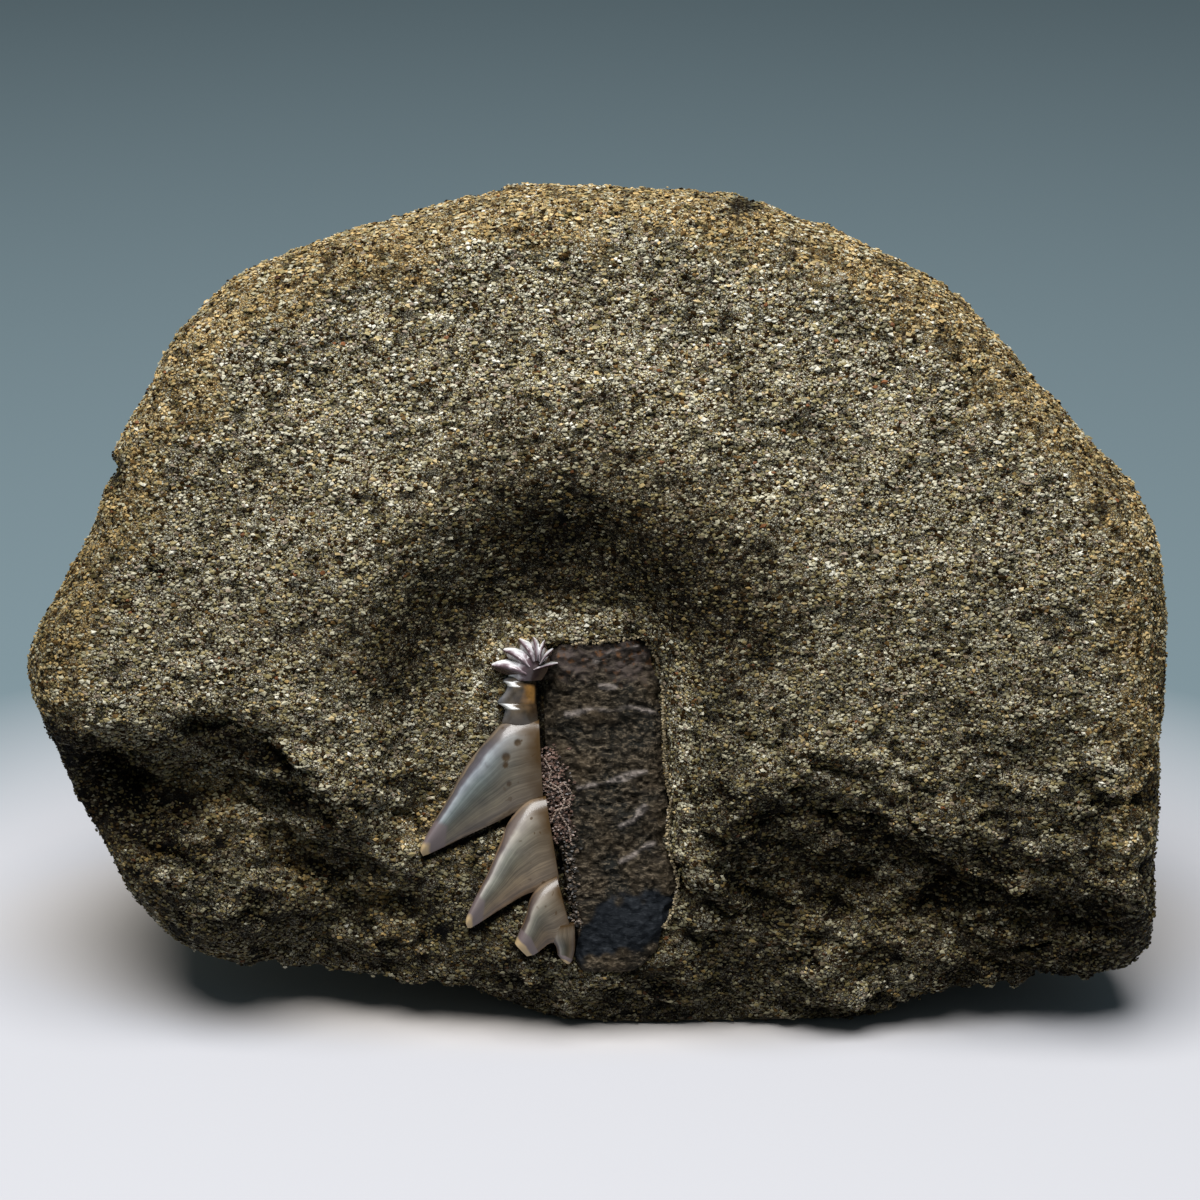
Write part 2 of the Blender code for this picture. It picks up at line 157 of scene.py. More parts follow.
# Cracks of the broken face: line, half width and depth
CRACKS = (
    (LONG_GASH, 0.7, 1.6), (SHORT_GASH, 0.6, 1.1), (UPPER_GASH, 0.9, 1.5), (LOWER_GASH, 0.6, 1.6),
    (((18.8, -8.0), (21.5, -8.6), (24.8, -10.6)), 0.5, 0.9),
    (((11.0, -1.5), (16.0, -0.8), (22.0, -2.2), (27.5, -5.6), (32.0, -7.6)), 0.8, 0.9),
    (((27.0, -9.2), (33.0, -9.0), (40.0, -9.8)), 0.4, 0.7),
    (((-12.2, -11.8), (-9.2, -12.5), (-5.8, -12.3)), 0.3, 0.5),
    (EDGE_NOTCH, 0.7, 0.8),
)

# Sand grains: tone, colour in sRGB, roughness, specular level, and their share of the face, the rind and the
# parts under painted shade and stains. Each tone comes in these lit and shaded copies, and about half of the
# grains are small.
GRAIN_TONES = (
    ("quartz", (0.67, 0.65, 0.585), 0.35, 0.30, (0.13, 0.05, 0.05)),
    ("pale", (0.62, 0.595, 0.51), 0.45, 0.15, (0.30, 0.17, 0.13)),
    ("olive", (0.515, 0.47, 0.335), 0.60, 0.10, (0.23, 0.10, 0.20)),
    ("mauve", (0.45, 0.40, 0.34), 0.50, 0.12, (0.14, 0.02, 0.18)),
    ("black", (0.15, 0.10, 0.03), 0.60, 0.04, (0.15, 0.12, 0.28)),
    ("tan", (0.63, 0.555, 0.405), 0.60, 0.10, (0.05, 0.26, 0.06)),
    ("ochre", (0.63, 0.53, 0.35), 0.60, 0.10, (0.01, 0.20, 0.01)),
    ("brown", (0.34, 0.26, 0.145), 0.65, 0.06, (0.05, 0.10, 0.105)),
    ("rust", (0.42, 0.27, 0.16), 0.60, 0.12, (0.006, 0.01, 0.005)),
)
# Painted light and shade: the lit and shaded copies of each tone, and how much warmer the darker ones get
SHADES = (1.18, 1.0, 0.80, 0.62, 0.47, 0.35, 0.25, 0.16)
SHADE_WARMTH = (1.0, 1.04, 1.28)
SMALL_SHARE = 0.47

# The crown, as stations ((edge a), (edge b), height) from the base to the tip
FIRST_CUSP = (
    ((-3.4, 5.9), (-3.1, 0.0), 0.7), ((-4.8, 6.1), (-4.2, -0.5), 1.05), ((-6.1, 5.7), (-5.3, -0.95), 1.3),
    ((-7.3, 4.45), (-6.3, -1.5), 1.35), ((-8.85, 2.5), (-7.7, -2.15), 1.2),
    ((-10.1, 0.25), (-9.2, -2.85), 1.0), ((-11.35, -1.9), (-10.7, -3.6), 0.75),
    ((-12.05, -3.2), (-11.6, -4.0), 0.5), ((-12.2, -3.7), (-12.0, -4.15), 0.3),
)
SECOND_CUSP = (
    ((-2.9, 0.3), (-1.9, -6.0), 0.75), ((-4.1, 0.05), (-2.7, -6.3), 1.0),
    ((-5.05, -0.8), (-3.7, -6.75), 1.25), ((-5.8, -1.9), (-4.6, -7.1), 1.3),
    ((-6.55, -3.8), (-5.7, -7.75), 1.15), ((-7.25, -5.5), (-6.8, -8.45), 0.95),
    ((-8.15, -7.3), (-7.8, -9.1), 0.7), ((-8.75, -8.6), (-8.4, -9.45), 0.45),
    ((-8.85, -9.0), (-8.7, -9.5), 0.3),
)
THIRD_CUSP = (
    ((-2.1, -5.6), (-0.9, -10.2), 0.7), ((-3.3, -6.3), (-1.6, -10.6), 0.95),
    ((-4.05, -7.3), (-2.5, -10.6), 1.1), ((-4.4, -8.6), (-3.1, -11.0), 1.0),
    ((-4.95, -10.0), (-3.7, -11.45), 0.75), ((-5.2, -10.6), (-4.3, -11.6), 0.45),
)
FOURTH_STUB = (
    ((-2.5, -9.3), (-0.8, -9.2), 0.5), ((-2.5, -10.2), (-0.75, -10.0), 0.5),
    ((-2.15, -10.9), (-0.75, -11.1), 0.4), ((-2.0, -11.5), (-0.95, -11.9), 0.4),
    ((-1.6, -12.0), (-1.2, -12.2), 0.2),
)
NECK = (
    ((-5.4, 9.4), (-3.5, 9.3), 0.9), ((-5.9, 9.05), (-3.55, 9.0), 0.8), ((-6.05, 8.85), (-3.6, 8.7), 0.85),
    ((-5.75, 8.5), (-3.6, 8.4), 1.15), ((-6.0, 7.9), (-3.6, 7.9), 1.05), ((-6.4, 7.45), (-3.6, 7.4), 0.85),
    ((-6.45, 7.2), (-3.6, 7.1), 0.8), ((-5.95, 6.85), (-3.55, 6.75), 1.15), ((-6.0, 6.3), (-3.5, 6.1), 1.05),
    ((-6.15, 5.75), (-3.45, 5.5), 0.75), ((-6.0, 5.3), (-3.5, 5.0), 0.4), ((-5.7, 4.9), (-3.8, 4.6), 0.05),
)
FAN_BODY = (
    ((-5.5, 8.9), (-3.2, 8.9), 0.9), ((-5.8, 9.5), (-2.8, 9.5), 1.3), ((-5.6, 10.2), (-2.6, 10.2), 1.45),
    ((-5.1, 10.9), (-2.7, 10.9), 1.25), ((-4.4, 11.5), (-3.0, 11.5), 0.7),
)
# The small spines: foot, tip, half width and height, and how width and height change on the way to a tip
SPINES = (
    ((-4.3, 9.35), (-6.9, 10.0), 0.60, 1.5), ((-4.1, 9.9), (-6.05, 11.15), 0.55, 1.65),
    ((-3.8, 10.3), (-4.9, 11.95), 0.48, 1.7), ((-3.6, 10.4), (-3.85, 12.1), 0.34, 1.6),
    ((-3.3, 10.3), (-2.95, 11.85), 0.28, 1.6), ((-3.3, 10.1), (-2.35, 11.2), 0.23, 1.6),
    ((-3.8, 9.7), (-2.0, 10.15), 0.20, 1.5),
)
SPINE_PROFILE = ((0.0, 0.6, 0.9), (0.3, 1.0, 1.0), (0.6, 0.95, 0.85), (0.85, 0.6, 0.55), (1.0, 0.2, 0.25))

# Pits of the first cusp: place, radius and depth
PITS = (
    ((-5.8, 3.3), 0.26, 0.14), ((-4.95, 4.35), 0.22, 0.12), ((-5.85, 2.7), 0.18, 0.08),
    ((-5.6, 1.3), 0.16, 0.06),
)
PIT_BROWN = (0.035, 0.020, 0.008)

# Colours across a cusp, from its upper to its lower edge; the pale blue-white at 0.20 is a painted reflection
ACROSS_CUSP = (
    (0.0, (0.08, 0.06, 0.045)), (0.03, (0.125, 0.094, 0.066)), (0.055, (0.05, 0.044, 0.046)),
    (0.14, (0.075, 0.070, 0.079)), (0.20, (0.21, 0.23, 0.25)), (0.33, (0.105, 0.122, 0.125)),
    (0.54, (0.05, 0.052, 0.042)), (0.78, (0.115, 0.098, 0.070)), (0.92, (0.080, 0.066, 0.055)),
    (0.965, (0.13, 0.098, 0.068)), (1.0, (0.06, 0.043, 0.03)),
)

# The root, as pairs of edge points from its top to its bottom
ROOT_STATIONS = (
    ((-2.3, 11.6), (4.1, 11.9)), ((-2.7, 10.6), (4.75, 11.2)), ((-3.0, 9.2), (5.0, 9.8)),
    ((-3.05, 7.2), (5.6, 8.3)), ((-2.95, 4.6), (5.6, 5.8)), ((-2.8, 2.4), (5.7, 3.2)),
    ((-2.45, 0.2), (5.95, 0.9)), ((-2.2, -1.8), (6.2, -1.2)), ((-1.75, -4.2), (5.95, -3.6)),
    ((-1.4, -6.2), (6.9, -5.8)), ((-0.9, -8.2), (6.6, -7.6)), ((-0.55, -10.2), (5.7, -9.8)),
    ((-0.7, -11.9), (5.2, -11.5)), ((-0.2, -12.9), (3.6, -12.9)),
)
ROOT_LEVEL = -0.6
ROOT_BEND = -7.3  # below it the root is calmer
ROOT_LINES = (
    ((0.8, 10.3), (2.0, 11.0), (3.9, 11.4)), ((1.1, 8.4), (2.3, 8.4)),
    ((-1.3, 6.3), (0.4, 6.7), (2.0, 6.6), (3.4, 6.9), (5.3, 6.4)),
    ((-0.5, 0.8), (1.7, 1.3), (3.4, 1.8), (4.6, 2.1)),
    ((2.6, -2.0), (3.6, -1.55), (4.4, -0.5)), ((2.6, -4.7), (3.7, -4.05), (4.5, -3.5), (5.2, -3.25)),
)

# Upper and lower border of the root's blue band, as (u, v)
BLUE_TOP = ((-1.0, -10.5), (1.2, -7.6), (3.5, -7.0), (6.5, -6.9))
BLUE_FOOT = ((-1.0, -12.2), (2.0, -11.6), (6.5, -10.6))

# Broken bits: name, line as (u, v, n), count, spread, level, smallest and largest width, and their tones as
# a colour in sRGB and a roughness
CRUMBS = (
    ("groove_crumbs",
     ((-2.7, 3.2, 0.0), (-2.3, 1.6, 0.1), (-2.0, 0.2, 0.1), (-1.9, -1.4, 0.0), (-1.6, -2.6, 0.0)),
     1100, 0.46, -0.25, 0.09, 0.30,
     (((0.36, 0.27, 0.23), 0.5), ((0.26, 0.19, 0.15), 0.5), ((0.42, 0.34, 0.30), 0.5),
      ((0.13, 0.09, 0.07), 0.5))),
    ("upper_web",
     ((-3.0, 3.1, 0.15), (-2.5, 2.2, 0.2), (-2.7, 1.4, 0.2), (-1.9, 0.9, 0.2), (-1.5, -0.1, 0.2),
      (-1.9, -1.0, 0.2), (-1.2, -2.0, 0.1), (-1.0, -3.3, 0.0)),
     380, 0.03, -0.05, 0.04, 0.09, (((0.56, 0.49, 0.44), 0.4),)),
    ("lower_web",
     ((-3.1, 1.2, 0.2), (-2.2, 0.8, 0.25), (-1.6, 1.3, 0.2), (-1.0, 0.6, 0.2), (-1.2, -0.5, 0.2),
      (-2.1, -0.7, 0.2), (-2.5, -1.7, 0.1)),
     330, 0.03, -0.05, 0.04, 0.09, (((0.50, 0.43, 0.38), 0.4),)),
    ("lower_crumbs", ((-1.3, -2.6, 0.0), (-1.1, -4.5, -0.3), (-0.9, -6.8, -0.4), (-0.4, -9.5, -0.5)),
     260, 0.25, -0.2, 0.10, 0.32,
     (((0.18, 0.14, 0.10), 0.5), ((0.34, 0.29, 0.24), 0.4), ((0.08, 0.07, 0.06), 0.5))),
    ("rim_crumbs",
     ((-1.0, 11.6, -0.1), (1.6, 11.75, 0.0), (4.2, 12.1, 0.1), (5.0, 11.3, 0.1), (5.75, 9.4, 0.0),
      (5.85, 6.0, 0.0), (5.9, 2.6, 0.0), (6.35, 0.0, 0.0), (6.1, -2.6, 0.0), (6.6, -5.0, 0.0),
      (6.95, -6.3, 0.0), (6.6, -7.9, 0.0), (5.8, -9.7, -0.2)),
     700, 0.07, 0.0, 0.10, 0.22,
     (((0.56, 0.50, 0.38), 0.5), ((0.44, 0.39, 0.29), 0.5), ((0.30, 0.26, 0.18), 0.5))),
)
CRUMB_SEED = 21
CRUMB_DEPTH = 0.12

# Where the light hangs and what it points at, in metres
LIGHT_PLACE = (-0.03, -0.14, 0.47)
LIGHT_AIM = (0.0, 0.0, 0.03)
LIGHT_SIZE = 0.40

# The camera, in pixels of a picture 1200 pixels wide: its focal length, the pixels of a millimetre at the
# tooth, and how far right and above the tooth's middle the middle of the picture lies
HALF_PICTURE = 600.0
FOCAL_PIXELS = 3510.0
PIXELS_PER_MM = 13.5
PICTURE_MIDDLE = (15.0, 200.0)

SMOOTH_ANGLE = math.radians(50.0)


def colour_property(name, description, default):
    return FloatVectorProperty(
        name=name, description=description, default=default, subtype="COLOR", size=3, min=0.0, max=1.0)


def length_property(name, description, default):
    return FloatProperty(name=name, description=description, default=default, unit="LENGTH")


class StoneSettings(PropertyGroup):
    """Sizes and colours of the sandstone."""

    fineness: length_property("Fineness", "Length of one facet of the stone's surface", 0.46 * MM)
    inset: length_property("Inset", "How far the bare stone stays under its outer grains", 0.16 * MM)
    roughness_height: length_property("Roughness height", "Height of the broken surface's lumps", 0.30 * MM)
    ledge_height: length_property("Ledge height", "Height of the thin wavy ledges of the bedding", 0.26 * MM)
    cement: colour_property("Cement", "Fill between the grains", (0.010, 0.006, 0.0016))
    rind: colour_property("Rind", "Weathered rind between its grains", (0.045, 0.026, 0.008))


class GrainSettings(PropertyGroup):
    """Sizes of the sand grains."""

    spacing: length_property("Spacing", "Least distance between the middles of two grains", 0.205 * MM)
    smallest: length_property("Smallest", "Width of the smallest grains", 0.17 * MM)
    largest: length_property("Largest", "Width of the largest grains", 0.42 * MM)
    proud: length_property("Proud", "How far a grain's middle stands out of the stone", 0.02 * MM)
    back_cover: FloatProperty(
        name="Cover of the back", description="Share of the grains that the back keeps",
        default=0.22, subtype="FACTOR", min=0.0, max=1.0)
    seed: IntProperty(name="Seed", description="Start of the random draws", default=7)


class ToothSettings(PropertyGroup):
    """Colours of the tooth."""

    spines: colour_property("Spines", "White of the small spines", (0.55, 0.55, 0.56))
    tip: colour_property("Tip", "Cream of the tips", (0.34, 0.245, 0.13))
    violet: colour_property("Violet", "Violet grey before the tip", (0.115, 0.088, 0.088))
    beige: colour_property("Beige", "Beige between the grey and the foot", (0.125, 0.098, 0.070))
    amber: colour_property("Amber", "Amber of the crown's foot", (0.045, 0.025, 0.009))
    root: colour_property("Root", "Dark brown of the root", (0.0125, 0.0095, 0.006))
    root_pale: colour_property("Pale root", "Pale specks and lines of the root", (0.105, 0.083, 0.056))
    root_blue: colour_property("Blue root", "Blue-black of the root's lower end", (0.0048, 0.0060, 0.0078))


class StageSettings(PropertyGroup):
    """Floor, light and camera."""

    floor: colour_property("Floor", "Floor near the stone", (0.32, 0.319, 0.336))
    # Painted warmer tint of the stone's shadow on the floor
    painted_shadow_tint: colour_property("Under the stone", "Floor right under the stone", (0.36, 0.32, 0.28))
    backdrop: colour_property("Backdrop", "Floor and air further away", (0.10, 0.137, 0.153))
    power: FloatProperty(
        name="Light", description="Power of the soft overhead light", default=6.5, unit="POWER")
    camera_height: FloatProperty(
        name="Camera height", description="Angle of the camera above the horizon",
        default=math.radians(20.0), unit="ROTATION")
    camera_distance: length_property("Camera distance", "Distance from the camera to its aim", 0.26)


def deselect():
    """Leaves nothing selected, as most operators act on all that is."""
    for thing in bpy.context.selected_objects:
        thing.select_set(False)


def make_active(thing):
    deselect()
    thing.select_set(True)
    bpy.context.view_layer.objects.active = thing


def add_mesh_object(name, mesh):
    thing = bpy.data.objects.new(name, mesh)
    bpy.context.scene.collection.objects.link(thing)
    make_active(thing)
    return thing


def corner_places(mesh, what="co"):
    """Where the corners of a mesh are, or which way they face if that is named normal."""
    values = np.empty(len(mesh.vertices) * 3)
    mesh.vertices.foreach_get(what, values)
    return values.reshape(-1, 3)


def set_corner_places(mesh, places):
    mesh.vertices.foreach_set("co", np.asarray(places, np.float32).ravel())
    mesh.update()


def set_attribute(mesh, name, values):
    attribute = mesh.attributes.new(name, "FLOAT", "POINT")
    attribute.data.foreach_set("value", np.asarray(values, np.float32))


def to_face(places):
    """World places in metres as (u, v, n) in millimetres."""
    turn = np.array(FACE_TURN.to_3x3())
    return (places - np.array(TOOTH_MIDDLE)) @ turn / MM


def smooth_step(values, low, high):
    share = np.clip((values - low) / (high - low), 0.0, 1.0)
    return share * share * (3.0 - 2.0 * share)


def bell(values):
    """1 at 0, and next to nothing from about 2 on, on either side."""
    return np.exp(-(values**2.0))


def lumps(places, length, start=0.0):
    """Smooth noise from -1 to 1 at each place, with lumps of that length. The start picks another noise."""
    return np.array([noise.noise(Vector(p)) for p in places / length + start])


def distance_to_line(points, line):
    """Distance in the face's plane from each (u, v) to an open line."""
    nearest = np.full(len(points), np.inf)
    for start, end in zip(line[:-1], line[1:]):
        start, along = np.array(start), np.subtract(end, start)
        share = np.clip((points - start) @ along / (along @ along), 0.0, 1.0)
        nearest = np.minimum(nearest, np.linalg.norm(points - start - share[:, None] * along, axis=1))
    return nearest


def apply_modifier(thing, kind, **settings):
    make_active(thing)
    modifier = thing.modifiers.new(kind.title(), kind)
    for name, value in settings.items():
        setattr(modifier, name, value)
    bpy.ops.object.modifier_apply(modifier=modifier.name)


def merged_copy(node, name):
    """A copy of a solid of the frame, whose loose triangles are joined."""
    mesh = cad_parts[node].data.copy()
    mesh.materials.clear()
    copy = add_mesh_object(name, mesh)
    bpy.ops.object.mode_set(mode="EDIT")
    bpy.ops.mesh.select_all(action="SELECT")
    bpy.ops.mesh.remove_doubles(threshold=0.0005 * MM)
    bpy.ops.mesh.customdata_custom_splitnormals_clear()
    bpy.ops.object.mode_set(mode="OBJECT")
    return copy


def finish_piece(piece, slot, *replaced):
    """Lets a piece ride on the body, and hides the solids that it stands for. The slot is not used."""
    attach(piece, "root")
    if replaced:
        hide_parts(*replaced)


class Finish:
    """A material under construction."""

    def __init__(self, name, roughness=0.5, specular=0.5, coat=0.0):
        self.material = bpy.data.materials.new(name)
        self.material.use_nodes = True
        self.tree = self.material.node_tree
        self.shader = self.tree.nodes["Principled BSDF"]
        self.shader.inputs["Roughness"].default_value = roughness
        self.shader.inputs["Specular IOR Level"].default_value = specular
        self.shader.inputs["Coat Weight"].default_value = coat

    def node(self, kind, settings=None, **inputs):
        made = self.tree.nodes.new("ShaderNode" + kind)
        for name, value in (settings or {}).items():
            setattr(made, name, value)
        for name, value in inputs.items():
            self.feed(made.inputs[name.replace("_", " ")], value)
        return made

    def feed(self, socket, value):
        if isinstance(value, bpy.types.NodeSocket):
            self.tree.links.new(value, socket)
        elif hasattr(value, "__len__"):
            socket.default_value = (*value, 1.0) if len(socket.default_value) == 4 else value
        else:
            socket.default_value = value

    def place(self):
        return self.node("TexCoord").outputs["Object"]

    def uv(self):
        return self.node("TexCoord").outputs["UV"]

    def attribute(self, name):
        return self.node("Attribute", {"attribute_name": name}).outputs["Fac"]

    def parts(self, vector):
        made = self.node("SeparateXYZ", Vector=vector)
        return made.outputs["X"], made.outputs["Y"], made.outputs["Z"]

    def mapped(self, vector, **inputs):
        return self.node("Mapping", Vector=vector, **inputs).outputs["Vector"]

    def noise(self, vector, length, detail=3.0, roughness=0.5):
        made = self.node("TexNoise", Vector=vector, Scale=1.0 / length, Detail=detail, Roughness=roughness)
        return made.outputs["Fac"]

    def math(self, operation, a, b=0.0):
        made = self.node("Math", {"operation": operation})
        self.feed(made.inputs[0], a)
        self.feed(made.inputs[1], b)
        return made.outputs["Value"]

    def plus(self, a, b):
        return self.math("ADD", a, b)

    def times(self, a, b):
        return self.math("MULTIPLY", a, b)

    def mix(self, share, a, b, blend="MIX"):
        return self.node("MixRGB", {"blend_type": blend}, Fac=share, Color1=a, Color2=b).outputs["Color"]

    def tinted(self, colour, tint):
        return self.mix(1.0, colour, tint, "MULTIPLY")

    def noise_ramp(self, place, length, *stops):
        return self.ramp(self.noise(place, length), stops)

    def ramp(self, share, stops, interpolation="LINEAR"):
        made = self.node("ValToRGB", Fac=share)
        made.color_ramp.interpolation = interpolation
        points = made.color_ramp.elements
        while len(points) < len(stops):
            points.new(1.0)
        for point, (position, colour) in zip(points, stops):
            point.position = position
            point.color = (*colour, 1.0) if hasattr(colour, "__len__") else (colour, colour, colour, 1.0)
        return made.outputs["Color"]

    def bump(self, height, strength, distance, normal=None):
        made = self.node("Bump", Height=height, Strength=strength, Distance=distance)
        if normal:
            self.feed(made.inputs["Normal"], normal)
        return made.outputs["Normal"]

    def done(self, colour=None, normal=None, roughness=None):
        if colour:
            self.feed(self.shader.inputs["Base Color"], colour)
        if normal:
            self.feed(self.shader.inputs["Normal"], normal)
        if roughness:
            self.feed(self.shader.inputs["Roughness"], roughness)
        return self.material


def linear(colour):
    """An sRGB colour in the linear values that materials hold."""
    return tuple(((c + 0.055) / 1.055) ** 2.4 if c > 0.04 else c / 12.92 for c in colour)


def chunks(spots):
    """A level from -1 to 1 for each place, the same all over the small broken chunk that it belongs to."""
    right, up, out = spots.T
    slanted = np.column_stack([0.38 * right, 0.75 * up + 0.2 * right, 0.5 * out])
    middles = (noise.voronoi(Vector(place))[1][0] for place in slanted)
    return 2.0 * np.array([noise.cell(17.3 * middle) for middle in middles]) - 1.0


def crevices(spots):
    """How deep each place lies in one of the small slanting crevices of the broken face, from 0 to 1."""
    right, up, out = spots.T
    slanted = np.column_stack([0.5 * right - 0.1 * up, up + 0.2 * right, 0.6 * out])
    return smooth_step(lumps(slanted, 0.52, 91.0) + 0.3 * lumps(slanted, 1.7, 19.0), 0.13, 0.36)


def rind_share(spots, heights, ragged):
    """How far each place belongs to the rind: along the rim of the face, and on the back above its foot."""
    flat, out = spots[:, :2], spots[:, 2]
    to_rim = distance_to_line(flat, RIND_LINE) + 2.4 * ragged
    rim = smooth_step(5.2 - to_rim, 0.0, 2.2) * smooth_step(flat[:, 1], -8.0, 2.0)
    behind = smooth_step(-out + ragged, -0.5, 2.5) * smooth_step(heights + 3.0 * ragged, 5.0, 16.0)
    return np.maximum(rim * smooth_step(out, -6.0, -2.0), behind)


def shade_and_stain_share(spots, front, ragged):
    """How dark the dark bands, the cracks and the gaps beside the tooth make each place, mostly painted
    shade, from 0 to 1.
    """
    flat, out = spots[:, :2], spots[:, 2]
    shade_and_stain = np.zeros(len(spots))
    for line, width, strength in SHADE_AND_STAINS:
        sharp = width < SHARP_WIDTH
        uneven = (distance_to_line(flat, line) + (0.25 * ragged if sharp else 0.0)) / width
        shade_and_stain = np.maximum(shade_and_stain, strength * front * np.exp(-(np.abs(uneven) ** (3.0 if sharp else 2.0))))
    shade_and_stain = np.clip(shade_and_stain + 0.12 * ragged * (shade_and_stain > 0.05), 0.0, 1.0)
    # Painted shade in the cracks
    for line, width, _ in CRACKS:
        near = bell((distance_to_line(flat, line) + 0.3 * ragged) / (1.3 * width))
        shade_and_stain = np.maximum(shade_and_stain, 0.75 * front * near)
    # Painted shadow in the gaps beside the tooth and under the cusps' lower edges
    for line, width in GAPS:
        near = smooth_step(1.8 * width - distance_to_line(flat, line), 0.0, 0.6 * width)
        shade_and_stain = np.maximum(shade_and_stain, near * smooth_step(out, -4.0, -2.5))
    return shade_and_stain


def stone_zones(places):
    """How far each place of the stone belongs to the rind and to the painted shade and stains, and how light
    it is painted.
    """
    spots, heights = to_face(places), places[:, 2] / MM
    flat = spots[:, :2]
    ragged = 1.3 * lumps(spots, 5.0, 11.0) + 0.9 * lumps(spots, 1.6, 23.0)
    front = smooth_step(spots[:, 2], -9.0, -3.0)
    rind, shade_and_stain = rind_share(spots, heights, ragged), shade_and_stain_share(spots, front, ragged)
    # Painted shade, darker down the face and down the back
    down_face = np.interp(flat[:, 1] + 1.5 * ragged, *zip(*FACE_LIGHTNESS))
    down_back = np.interp(heights + 2.0 * ragged, *zip(*BACK_LIGHTNESS))
    light = front * down_face + (1.0 - front) * down_back
    light = light * (1.0 - 0.85 * shade_and_stain) * (1.0 - 0.24 * rind)
    # Painted light and shade along the gain lines
    for line, width, gain in GAINS:
        uneven = (distance_to_line(flat, line) + 0.25 * min(width, 1.0) * ragged) / width
        light = light * (1.0 + gain * front * bell(uneven))
    # Painted light and shade on the lumps and chunks of the lower part
    low = front * smooth_step(-flat[:, 1], -7.0, 1.0)
    light = light * (1.0 + low * (0.5 * lumps(spots, 0.75, 57.0) + 0.32 * chunks(spots)))
    light = light * (1.08 + 0.45 * lumps(spots, 1.0, 71.0) + 0.25 * lumps(spots, 2.6, 37.0))
    light = light * (1.0 + 0.6 * shade_and_stain * lumps(spots, 0.6, 27.0))
    # Painted shade in the small crevices, more of it inside the painted shade
    light = light * (1.0 - (0.72 + 0.25 * shade_and_stain) * crevices(spots))
    return rind * (1.0 - 0.6 * shade_and_stain), shade_and_stain, np.clip(light, 0.0, 1.4)


def make_beds():
    """Fills the pocket up to just under the crown and the root, so that the stone closes round the tooth."""
    beds = []
    for name, side, cut, top in (("crown_bed", 1.0, -3.2, -0.15), ("root_bed", -1.0, -3.2, -1.15)):
        bed = merged_copy("tooth", name)
        apply_modifier(bed, "DISPLACE", strength=0.34 * MM, mid_level=0.0)
        make_active(bed)
        bpy.ops.object.mode_set(mode="EDIT")
        for place, normal in (((cut, 0.0, 0.0), (side, 0.0, 0.0)), ((0.0, 0.0, top), (0.0, 0.0, 1.0))):
            bpy.ops.mesh.select_all(action="SELECT")
            bpy.ops.mesh.bisect(
                plane_co=FACE @ Vector(place), plane_no=FACE_TURN.to_3x3() @ Vector(normal),
                use_fill=True, clear_outer=True)
        bpy.ops.object.mode_set(mode="OBJECT")
        beds.append(bed)
    return beds


def broken_relief(spots, settings):
    """Height of the broken surface over the plain one: lumps, chunks, thin ledges and cracks."""
    flat, out = spots[:, :2], spots[:, 2]
    rough = 0.6 * lumps(spots, 2.1) + 0.4 * lumps(spots, 0.95, 5.0)
    wave = lumps(spots, 7.0, 31.0)
    layered = smooth_step(-distance_to_line(flat, LAYERED_LINE), -7.5, -4.0)
    phase = (spots[:, 1] - 0.22 * spots[:, 0] + 2.6 * wave) / (1.7 - 0.6 * layered)
    ledge = (phase % 1.0 - 0.5) * smooth_step(lumps(spots, 5.0, 47.0) + 0.9 * layered, -0.25, 0.35)
    jagged = np.zeros(len(spots))
    for line, width, _ in JAGGED_SHADE:
        jagged = np.maximum(jagged, bell(distance_to_line(flat, line) / max(1.5 * width, 3.0)))
    step = (spots[:, 1] + 0.30 * spots[:, 0] + 2.2 * lumps(spots, 3.4, 83.0)) / 1.9
    low = smooth_step(-spots[:, 1], -9.0, -1.0) * smooth_step(out, -10.0, -4.0)
    jagged = np.maximum(jagged, 0.6 * low)
    height = settings.roughness_height * ((1.0 + 1.6 * jagged) * rough - 0.5 * crevices(spots))
    height += MM * jagged * (1.2 * lumps(spots, 5.2, 43.0) + 0.42 * chunks(spots))
    height += settings.ledge_height * ((1.0 + 0.8 * layered) * ledge + 2.0 * jagged * (step % 1.0 - 0.5))
    for line, width, depth in CRACKS:
        ragged = distance_to_line(flat, line) + 0.8 * rough + 1.2 * lumps(spots, 4.0, 13.0)
        height -= depth * MM * bell(ragged / width) * smooth_step(out, -8.0, -3.0)
    for line in QUIET_LINES:
        height *= smooth_step(distance_to_line(flat, line), 0.3, 3.0)
    return height


def roughen(stone, settings):
    """Gives the stone its broken surface, calm round the tooth and flat where it rests."""
    places, normals = corner_places(stone.data), corner_places(stone.data, "normal")
    spots = to_face(places)
    flat, out = spots[:, :2], spots[:, 2]
    resting = smooth_step(places[:, 2], 0.3 * MM, 1.5 * MM)
    to_tooth = np.maximum(np.abs(spots[:, 0] + 2.6) - 9.0, np.abs(spots[:, 1]) - 12.5)
    calm = 1.0 - 0.7 * smooth_step(-to_tooth, -2.0, 0.0) * smooth_step(out, -4.0, -2.5)
    height = broken_relief(spots, settings) * resting * calm - settings.inset * resting
    for line, width in GAPS:
        inside = smooth_step(1.6 * width - distance_to_line(flat, line), 0.0, 0.8 * width)
        height -= 0.5 * MM * inside * smooth_step(out, -2.0, -1.4)
    places = places + normals * height[:, None]
    lifted = bell((flat[:, 0] - LIFTED_AT) / LIFTED_WIDTH) * smooth_step(-flat[:, 1], 9.0, 14.0)
    places[:, 2] += LIFT * MM * lifted
    set_corner_places(stone.data, np.clip(places, np.array(CAD_BOX[0]), np.array(CAD_BOX[1])))


def tone_stops(column):
    """Stops of a colour ramp that gives each grain tone its share of 0 to 1."""
    stops, start = [], 0.0
    for _, colour, _, _, shares in GRAIN_TONES:
        stops.append((start, linear(colour)))
        start += shares[column]
    return stops


